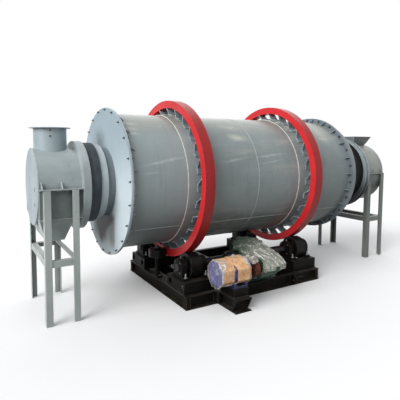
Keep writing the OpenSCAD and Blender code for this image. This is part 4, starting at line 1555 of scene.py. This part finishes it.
@dataclass
class Drive(Assembly):
    """Motor, coupling, gear reducer and drive shaft couplings; sizes in metres.

    half is half the reducer's width. Bolts of its joint, its feet and the motor's feet stand
    at the given distances from the middle and places along the reducer.
    """

    motor_x0: float
    input_y: float
    shaft_y: float
    z: float
    half: float = 0.120
    joint: tuple[float, float] = (0.126, 0.016)
    joint_bolts: tuple[float, ...] = (-1.030, -0.860, -0.740, -0.650, -0.400, -0.330)
    foot: tuple[float, float] = (0.137, 0.167)
    foot_bolts: tuple[float, ...] = (-0.715, -0.560, -0.380)
    motor_foot: tuple[float, float] = (-0.484, 0.258)
    motor_bolts: tuple[float, float] = (0.036, 0.094)
    coupling: float = -0.240
    flange_x: float = 0.300
    sleeve_x: float = 0.230
    lid_reach: tuple[float, float] = (0.130, 0.070)
    lid_size: tuple[float, float, float] = (0.156, 0.216, 0.010)
    lid_height: float = 0.2045
    fan_rings: tuple[float, ...] = (0.024, 0.042, 0.060, 0.078, 0.096)

    def dress(self) -> None:
        """Paints the reducer, the motor and the rusty coupling."""
        # Painted shade: the reducer turns nearly black towards its rear.
        cover(ShadedPaint("reducer_green", "275540", "1E4434", "131A16", "7A9084", 0.36, 0.3,
                          patch=6.0, edge_wear_and_highlight=0.4, scratch=0.3, dust=0.08, shade="0B0F0C", axis=1,
                          start=self.shaft_y + 0.07, end=self.shaft_y + 0.15, share=0.9),
              "gear_reducer")
        # Painted shade: the motor turns darker below its axis.
        cover(ShadedPaint("motor_blue", "4E4F8C", "434480", "1C1D30", "9394B4", 0.4, 0.4,
                          patch=7.0, edge=0.003, edge_wear_and_highlight=0.4, dust=0.05, shade="161722",
                          start=self.z - 0.09, end=self.z - 0.13), "motor", "motor_card_wraps")
        cover(Steel("coupling_rust", "7A4228", "5A2C1A", 0.9, 0.62, 0.1, 0.3), "motor_coupling")

    def build(self, shared: Finishes) -> None:
        """Adds the bolts, lid, fan cover and coupling parts of the drive.

        Args:
            shared: Finishes that several sub-assemblies use.
        """
        self.build_reducer(shared)
        fan, outline = Shape(), [(0.0, 0.003), (0.012, 0.003)]
        for r in self.fan_rings:
            outline += [(r, 0.003), (r + 0.002, 0.0055), (r + 0.008, 0.0055), (r + 0.010, 0.003)]
        outline += [(0.120, 0.003), (0.127, -0.002), (0.127, -0.006), (0.0, -0.006)]
        fan.turned(outline, to_x(self.motor_x0, self.input_y, self.z, -1), 64)
        fan.piece("motor_fan_cover", Coat(Slot.MOTOR, worn_by("motor"), 30))

        joints, pins = Shape(), Shape()
        band = [(0.0845, -0.004), (0.0875, -0.004), (0.0875, 0.004), (0.0845, 0.004)]
        for s in ENDS:
            Bolt(0.012, 0.006).row(joints, circle(
                0.066, 6, 0.2, to_x(s * self.flange_x, self.shaft_y, self.z, s)))
            joints.turned(band, to_x(s * self.sleeve_x, self.shaft_y, self.z), 64, closed=True)
            Bolt(0.012).row(pins, circle(
                0.084, 6, 0.5, to_x(self.coupling + s * 0.027, self.input_y, self.z, s)))
        joints.piece("shaft_coupling_bolts", shared.dark, Body.DRIVE)
        pins.piece("motor_coupling_pins", shared.dark, Body.MOTOR)

    def build_reducer(self, shared: Finishes) -> None:
        """Adds the reducer's bolts, and its lid with the breather.

        Args:
            shared: Finishes that several sub-assemblies use.
        """
        bolts, lid, small = Shape(), Shape(), Shape()
        for s in ENDS:
            Bolt(0.0068, 0.004, washer=False).row(bolts, [
                at(s * self.joint[0], y, self.z + self.joint[1]) for y in self.joint_bolts])
            Bolt(0.014, 0.016).row(
                bolts, [at(s * self.foot[0], y, self.foot[1]) for y in self.foot_bolts])
            Bolt(0.008, washer=False).row(bolts, circle(
                0.068, 6, 0.3, to_x(s * (self.half + 0.028), self.shaft_y, self.z, s)))
            Bolt(0.006, washer=False).row(bolts, circle(
                0.048, 6, 0.1, to_x(s * (self.half + 0.022), self.input_y, self.z, s)))
            Bolt(0.010).row(bolts, [
                at(self.motor_foot[0] + s * self.motor_bolts[0],
                   self.input_y + e * self.motor_bolts[1], self.motor_foot[1]) for e in ENDS])
        low_y, high_y = self.shaft_y - self.lid_reach[0], self.shaft_y + self.lid_reach[1]
        bmesh.ops.create_cube(lid.bm, size=1.0, matrix=(
            at(0, (low_y + high_y) / 2, self.z + self.lid_height)
            @ Matrix.Diagonal((*self.lid_size, 1))))
        bmesh.ops.bevel(lid.bm, geom=lid.bm.edges[:], offset=0.003, offset_type="OFFSET",
                        segments=2, profile=0.5, affect="EDGES", material=-1)
        lid.stack(Vector((0, self.shaft_y - 0.03, self.z)), UP, (
            (16, 0.022, 0.022, 0.209, 0.215), (16, 0.016, 0.014, 0.215, 0.222)))
        Bolt(0.008).row(small, [at(s * 0.066, y, self.z + 0.2095)
                                for s in ENDS for y in (low_y + 0.005, high_y - 0.005)])
        lid.piece("reducer_lid_and_breather", Coat(Slot.REDUCER, worn_by("gear_reducer"), 40))
        small.piece("reducer_lid_bolts", shared.dark)
        bolts.piece("reducer_bolts", shared.dark)


@dataclass
class DischargeEnd(Assembly):
    """Discharge hood: spout, cover, box, hopper, plate, seal and stand; sizes in metres.

    The hopper's foot stands in by hopper_ends and hopper_side, the rivets stand below the
    spout's flange, and seam_turn is where the spout's seam is, in degrees from +X.
    """

    x0: float
    x1: float
    hood_z: float
    barrel: float
    box_z: float
    spout_x: float
    spout_top: float
    spout_r: float = 0.163
    split: float = 0.006
    split_bolts: tuple[float, ...] = (0.065, 0.165, 0.255, 0.345)
    hopper_ends: tuple[float, float] = (0.083, 0.148)
    hopper_side: float = 0.142
    rivets: tuple[float, float] = (0.030, 0.089)
    rivet_x: float = -0.030
    seam_turn: float = 200.0

    def dress(self) -> None:
        """Paints the hood, its seal and its stand."""
        # Edge wear and painted highlight on the cover's edges.
        cover(Paint("hood_paint", "A0AAAB", "929D9E", "4A4C49", "E6ECED", 0.4, patch=2.2,
                    stretch=(0.6, 1, 1), corner_grime_and_shade=0.45, edge=0.006, edge_wear_and_highlight=0.9),
              "discharge_hood_cover")
        # Painted shade: the box under the split flange is painted darker than the cover.
        cover(Paint("hood_box_shaded_paint", "727C79", "66706E", "3B3D39", "AAB2B0", 0.46, patch=3.0,
                    reach=0.09), "discharge_hood_box")
        cover(Paint("discharge_hopper_paint", "BAC5C3", "ACB7B5", "4A4C49", "C3CAC8", 0.46,
                    0.3, patch=3.0, corner_grime_and_shade=0.5, reach=0.09), "discharge_hopper")
        cover(Paint("spout_paint", "A3B1B6", "93A1A6", "50565A", "D2DBDE", 0.34, patch=3.0,
                    stretch=(1, 1, 0.4), corner_grime_and_shade=0.4), "discharge_spout")
        # Edge wear and painted highlight on the stand's edges.
        cover(Paint("stand_paint", "AEB6B3", "A0A9A6", "4C4742", "EDF1F0", 0.45, patch=4.0,
                    stretch=(1, 1, 0.5), corner_grime_and_shade=0.75, edge=0.006, edge_wear_and_highlight=0.9), "discharge_stand")
        cover(HoodPlatePaint("hood_plate_paint", "96A6AB", "8C9BA1", "6E7477", "E6EBED", 0.38,
                             patch=2.6, scratch=0.3, corner_grime_and_shade=0.3,
                             spot=(0.10, self.hood_z - 0.075)), "discharge_hood_plate")
        # Edge wear and painted highlight on the casing's edges.
        cover(Paint("seal_casing_paint", "A9B3B6", "989FA0", "54504A", "D9E4EA", 0.44,
                    patch=2.4, corner_grime_and_shade=0.4, edge=0.006, edge_wear_and_highlight=0.9), "discharge_seal_casing")
        cover(Rubber("seal_rubber"), "discharge_seal_band")

    def build(self, shared: Finishes) -> None:
        """Adds the split bolts and the weld seams.

        Args:
            shared: Finishes that several sub-assemblies use.
        """
        bolts, seams = Shape(), Shape()
        places = [self.x0 + x for x in self.split_bolts]
        under = Matrix.Rotation(math.pi, 4, "X")
        for s in ENDS:
            y = s * (self.barrel + 0.034)
            Bolt(0.010).row(bolts, [at(x, y, self.hood_z + self.split) for x in places])
            Bolt(0.010, 0.006).row(bolts, [
                at(x, y, self.hood_z - self.split) @ under for x in places[1:3]])
        bolts.piece("discharge_split_bolts", shared.zinc)
        side, low = self.barrel - 0.001, self.box_z
        seams.ring_bead(side, 0.004, to_x(self.x0 - 0.0005, 0, self.hood_z), 96)
        for s in ENDS:
            for x in (self.x0 + 0.001, self.x1 - 0.001):
                seams.bead((x, s * side, low + 0.004), (x, s * side, self.hood_z - 0.012), 0.0035)
            seams.bead((self.x0 + 0.004, s * side, low), (self.x1 - 0.004, s * side, low), 0.004)
        hopper_low, hopper_high = span("discharge_hopper")
        for s in ENDS:
            for top_x, foot_x in ((self.x0, self.x0 + self.hopper_ends[0]),
                                  (hopper_high.x, self.x1 - self.hopper_ends[1])):
                seams.bead((top_x, s * side, hopper_high.z - 0.004),
                           (foot_x, s * (self.barrel - self.hopper_side), hopper_low.z + 0.004),
                           0.0032)
        seams.piece("discharge_hood_seams", shared.weld)
        self.build_spout(shared)

    def build_spout(self, shared: Finishes) -> None:
        """Adds the spout's upright seam with two rivets and the bead under its flange.

        Args:
            shared: Finishes that several sub-assemblies use.
        """
        seam, rivets, r, turn = Shape(), Shape(), self.spout_r, math.radians(self.seam_turn)
        x, y = self.spout_x + math.cos(turn) * r, math.sin(turn) * r
        seam.bead((x, y, self.hood_z + self.barrel + 0.006), (x, y, self.spout_top - 0.012),
                  0.0028)
        seam.ring_bead(r + 0.001, 0.004, at(self.spout_x, 0, self.spout_top - 0.0095), 72)
        seam.piece("spout_seams", shared.weld)
        out = Vector((self.rivet_x, -math.sqrt(r * r - self.rivet_x ** 2), 0))
        for below in self.rivets:
            foot = Vector((self.spout_x, 0, self.spout_top - below)) + out
            rivets.stack(foot, out.normalized(), (
                (12, 0.010, 0.009, -0.001, 0.003), (6, 0.006, 0.005, 0.003, 0.008)))
        rivets.piece("spout_screws", shared.dark)


@dataclass
class FeedEnd(Assembly):
    """Feed hood: barrel halves, hopper, seal casing and stand; sizes in metres.

    mouth is half the hopper's width, which narrows by flare each side over drop; the lowest
    hidden part of that is inside the hood. The split's bolts are counted from its two ends.
    """

    x0: float
    x1: float
    hood_z: float
    barrel: float
    mouth_x: float
    mouth: float
    mouth_z: float
    split: float = 0.006
    flare: float = 0.098
    drop: float = 0.190
    hidden: float = 0.075
    front_bolts: tuple[float, float] = (0.115, 0.185)
    back_bolts: tuple[float, float] = (0.155, 0.090)

    def dress(self) -> None:
        """Paints the feed hood, its hopper, casing, seal and stand."""
        cover(Paint("feed_hood_paint", "929792", "848984", "4A4842", "C6CAC6", 0.42, patch=2.4,
                    corner_grime_and_shade=0.5), "feed_hood_cover", "feed_hood_plate")
        cover(Paint("feed_trough_paint", "6E7472", "5F6563", "33342F", "A3A9A7", 0.48,
                    patch=3.0, reach=0.09), "feed_hood_trough")
        # Painted shade low on the casing, with edge wear and painted highlight on its edges.
        cover(ShadedPaint("feed_casing_paint", "A9B3B6", "9AA3A7", "3E4040", "BCC5C8", 0.44,
                          patch=3.0, corner_grime_and_shade=0.8, edge=0.005, edge_wear_and_highlight=0.8, shade="2C2E2E",
                          start=self.hood_z + 0.05, end=self.hood_z - 0.30, share=0.85),
              "feed_seal_casing")
        # Painted shade on the hopper's faces that look towards -Y.
        cover(ShadedPaint("feed_hopper_paint", "969EA1", "889094", "3B3C3B", "B9BEC0", 0.45,
                          patch=3.4, corner_grime_and_shade=0.5, shade="4A4E4B", axis=1, start=-0.35,
                          end=-0.75, share=0.9, by_face=True), "feed_hopper")
        cover(Paint("feed_stand_paint", "7B807B", "6E736E", "35322D", "B4B8B4", 0.46, 0.3,
                    patch=4.0, stretch=(1, 1, 0.5), corner_grime_and_shade=0.85), "feed_stand")
        # Painted shade: a darker copy of the seal rubber for the feed end.
        cover(Rubber("feed_seal_shaded_rubber", "0F1213", "272C2E"), "feed_seal_band")

    def build(self, shared: Finishes) -> None:
        """Adds the split bolts, the hopper's seams and the plate's seam.

        Args:
            shared: Finishes that several sub-assemblies use.
        """
        bolts, seams = Shape(), Shape()
        places = [self.x0 + x for x in self.front_bolts] + [self.x1 - x for x in self.back_bolts]
        for s in ENDS:
            y = s * (self.barrel + 0.014)
            Bolt(0.008).row(bolts, [at(x, y, self.hood_z + self.split) for x in places])
        bolts.piece("feed_split_bolts", shared.zinc)
        seams.ring_bead(self.barrel - 0.001, 0.004, to_x(self.x1 + 0.0005, 0, self.hood_z), 96)
        edge = self.mouth - 0.003
        foot = self.mouth - self.flare * (1 - self.hidden / self.drop)
        for sx, sy in CORNERS:
            seams.bead((self.mouth_x + sx * edge, sy * edge, self.mouth_z - 0.006),
                       (self.mouth_x + sx * foot, sy * foot,
                        self.mouth_z - self.drop + self.hidden), 0.0028)
        seams.piece("feed_hood_seams", shared.weld)


# ---------- Studio ----------


@dataclass(frozen=True)
class Camera:
    """Where the camera stands and how it is turned; metres and degrees.

    focal, middle and frame share one unit: the frame's width is frame.
    """

    place: tuple[float, float, float] = (-2.9974, -4.2909, 1.7477)
    yaw: float = 31.033569
    pitch: float = -4.288987
    roll: float = 0.296767
    focal: float = 395.536
    middle: tuple[float, float] = (195.634, 174.007)
    frame: float = 400.0
    sensor: float = 36.0

    def build(self) -> None:
        """Creates the camera and makes it the scene's own."""
        data = bpy.data.cameras.new("view")
        made = put("view", data)
        yaw, pitch, roll = (math.radians(v) for v in (self.yaw, self.pitch, self.roll))
        ahead = Vector((math.sin(yaw) * math.cos(pitch), math.cos(yaw) * math.cos(pitch),
                        math.sin(pitch)))
        right = Vector((math.cos(yaw), -math.sin(yaw), 0))
        up = right.cross(ahead)
        side = math.cos(roll) * right + math.sin(roll) * up
        top = math.cos(roll) * up - math.sin(roll) * right
        turn = Matrix((side, top, -ahead)).transposed().to_4x4()
        made.matrix_world = at(*self.place) @ turn
        data.sensor_width = self.sensor
        data.lens = self.focal / self.frame * self.sensor
        data.shift_x = (self.frame / 2 - self.middle[0]) / self.frame
        data.shift_y = (self.middle[1] - self.frame / 2) / self.frame
        data.clip_end = 200
        bpy.context.scene.camera = made


@dataclass(frozen=True)
class Studio:
    """Plain pale floor and plain soft light."""

    sky: float = 0.55
    key: float = 3.2
    fill: float = 0.8

    def lamp(self, name: str, energy: float, toward: Vector, spread: float) -> None:
        """Adds a soft distant lamp that shines along a direction.

        Args:
            name: Name of the lamp.
            energy: Its strength.
            toward: Direction that it shines in.
            spread: Angle over which it shines, in degrees.
        """
        data = bpy.data.lights.new(name, "SUN")
        data.energy = energy
        data.angle = math.radians(spread)
        put(name, data).rotation_euler = toward.to_track_quat("-Z", "Y").to_euler()

    def seen(self, g: Graph) -> Signal:
        """1 for rays that show the background, straight or through gloss and glass.

        Args:
            g: Graph that the nodes are added to.

        Returns:
            The mask.
        """
        total = g.node("ShaderNodeLightPath", output="Is Camera Ray")
        for name in ("Is Glossy Ray", "Is Transmission Ray"):
            total = g.math("MAXIMUM", total, g.node("ShaderNodeLightPath", output=name))
        return total

    def build_world(self) -> None:
        """White where it is seen and evenly pale as light."""
        g = Graph(bpy.data.worlds.new("studio"))
        bpy.context.scene.world = g.owner
        pale, white = (
            g.node("ShaderNodeBackground", {}, {"Color": colour, "Strength": strength})
            for colour, strength in (((0.96, 0.98, 1.0, 1), self.sky), ((1, 1, 1, 1), 1.0)))
        g.fill(g.tree.nodes["World Output"], {"Surface": g.blend(self.seen(g), pale, white)})

    def build_floor(self) -> None:
        """Pale floor that keeps the object's shadow and throws little light back."""
        shape, mesh = Shape(), bpy.data.meshes.new("floor")
        bmesh.ops.create_circle(shape.bm, cap_ends=True, segments=96, radius=60)
        shape.bm.to_mesh(mesh)
        put("floor", mesh)
        g = Graph(bpy.data.materials.new("floor"))
        pale, dim = (g.node("ShaderNodeBsdfDiffuse", {}, {"Color": colour})
                     for colour in ((0.93, 0.93, 0.93, 1), (0.135, 0.132, 0.126, 1)))
        spot = g.node("ShaderNodeNewGeometry", output="Position")
        length = g.node("ShaderNodeVectorMath", {"operation": "LENGTH"}, {0: spot}, "Value")
        away = g.node("ShaderNodeMapRange", {}, {0: length, 1: 5.0, 2: 11.0})
        faded = g.blend(away, pale, g.node("ShaderNodeEmission"))
        g.fill(g.tree.nodes["Material Output"], {"Surface": g.blend(self.seen(g), dim, faded)})
        mesh.materials.append(g.owner)

    def build(self) -> None:
        """Sets up the floor, the world and the lamps."""
        self.build_world()
        self.build_floor()
        self.lamp("key", self.key, Vector((0.82, 0.26, -0.50)), 50)
        self.lamp("fill", self.fill, Vector((-0.60, -0.70, -0.45)), 70)
        bpy.context.scene.view_settings.view_transform = "Standard"


def shared_finishes() -> Finishes:
    """Makes the small finishes that several sub-assemblies share.

    Returns:
        The finishes, by what they cover.
    """
    return Finishes(
        zinc=Coat(Slot.ZINC, Steel("bolt_zinc", "8E9192", "5C4A3C", 0.2, 0.38, 0.7).make(), 35),
        dark=Coat(Slot.DARK, Steel("bolt_dark", "3C4145", "4A3428", 0.3, 0.45, 0.5).make(), 35),
        weld=Coat(Slot.SEAM, Paint("weld_paint", "B4BAB7", "A3A9A6", "55554F", "D6DAD8", 0.45,
                                   patch=20, peel=0.0006).make()),
        cream=Coat(Slot.SEAM, Paint("seam_cream", "E2E3DE", "D2D3CD", "77756A", "F0EEE4", 0.5,
                                    patch=20, corner_grime_and_shade=0.3, peel=0.0006).make()),
        black_weld=Coat(Slot.FRAME, Paint("weld_black", "2A2724", "201D1B", "4A443C", "6B665F",
                                          0.5, 0.3, patch=20, peel=0.0006).make()),
        film=Coat(Slot.FILM, EndFilm("clear_film", "DFDDD8", 0.10, 0.85, 9.0, (0.5, 1.9, 0.45),
                                     edge_x=span("motor")[0].x + 0.004).make()),
        bag_film=Coat(Slot.FILM, BagFilm("bag_film", "D3D2C4", 0.12, 1.0, 9.0,
                                         (1.9, 0.4, 1.3)).make(), 70),
        thick_film=Coat(Slot.FILM, Film("bunched_film_white", "E9E6E0", 0.35, 0.95,
                                        24.0).make()))


def turning_parts() -> tuple[Drum, Tyres, RollerStations]:
    """Sizes up the drum, its tyres and its roller stations from the frame.

    Returns:
        The drum, the tyres and the roller stations.
    """
    shell, pads, tyre, roller = (
        span(name)[1] for name in ("drum_shell", "tyre_pads", "feed_tyre", "rear_feed_roller"))
    tyre_low, roller_low = span("feed_tyre")[0], span("rear_feed_roller")[0]
    axis, spring, bearing_foot = (span("drum_shell")[0].z + shell.z) / 2, 0.084, 0.026
    tyre_x, pad_r = (tyre_low.x + tyre.x) / 2, pads.z - axis
    half = pads.x - tyre_x
    return (
        Drum(axis, shell.z - axis, span("discharge_end_plate")[0].x, span("feed_end_cap")[1].x,
             shell.x, (-tyre_x - half, -tyre_x + half, tyre_x - half, tyre_x + half),
             span("discharge_neck")[1].z - axis, span("feed_neck")[1].z - axis),
        Tyres(axis, (-tyre_x, tyre_x), tyre.x - tyre_low.x, pad_r + spring, tyre.z - axis,
              pad_r),
        RollerStations(tyre_x, (roller_low.y + roller.y) / 2, (roller_low.z + roller.z) / 2,
                       span("roller_bearings")[0].z + bearing_foot))


def driving_parts(stations: RollerStations) -> list[Assembly]:
    """Sizes up the base, the drive and its wraps round the front rollers' shaft.

    Args:
        stations: Roller stations, which place the shaft.

    Returns:
        The base, the drive and the wraps.
    """
    base, shaft_y, z = span("base_frame")[1], -stations.shaft_y, stations.shaft_z
    low, high = span("motor")
    input_y = (low.y + high.y) / 2
    lug_in, far_lug_in, web_in = 0.387, 0.450, 0.051
    return [
        BaseFrame((-base.x + lug_in, base.x - far_lug_in), base.y - web_in, base.z),
        Drive(low.x, input_y, shaft_y, z),
        Wraps(low.x, span("motor_card_wraps")[1].x + 0.002, high.y - input_y, input_y, z,
              shaft_y, span("gear_reducer")[0].y)]


def end_parts() -> list[Assembly]:
    """Sizes up both hoods from the frame.

    Returns:
        The discharge end and the feed end.
    """
    low, high = span("discharge_spout")
    hood, hopper_low, hopper = span("feed_hood_cover"), *span("feed_hopper")
    hood_z = span("discharge_hood_cover")[0].z
    return [
        DischargeEnd(span("discharge_hood_cover")[0].x, span("discharge_seal_casing")[0].x,
                     hood_z, span("discharge_hood_plate")[1].y, span("discharge_hood_box")[0].z,
                     (low.x + high.x) / 2, high.z),
        FeedEnd(hood[0].x, hood[1].x, hood_z, span("feed_hood_plate")[1].y,
                (hopper_low.x + hopper.x) / 2, hopper.y, hopper.z)]


def main() -> None:
    """Builds every sub-assembly in order."""
    logging.basicConfig(level=logging.INFO, format="%(name)s: %(message)s")
    Camera().build()
    Studio().build()
    shared = shared_finishes()
    turning = turning_parts()
    for part in (*turning, *driving_parts(turning[-1]), *end_parts()):
        part.dress()
        part.build(shared)


if __name__ == "__main__":
    main()
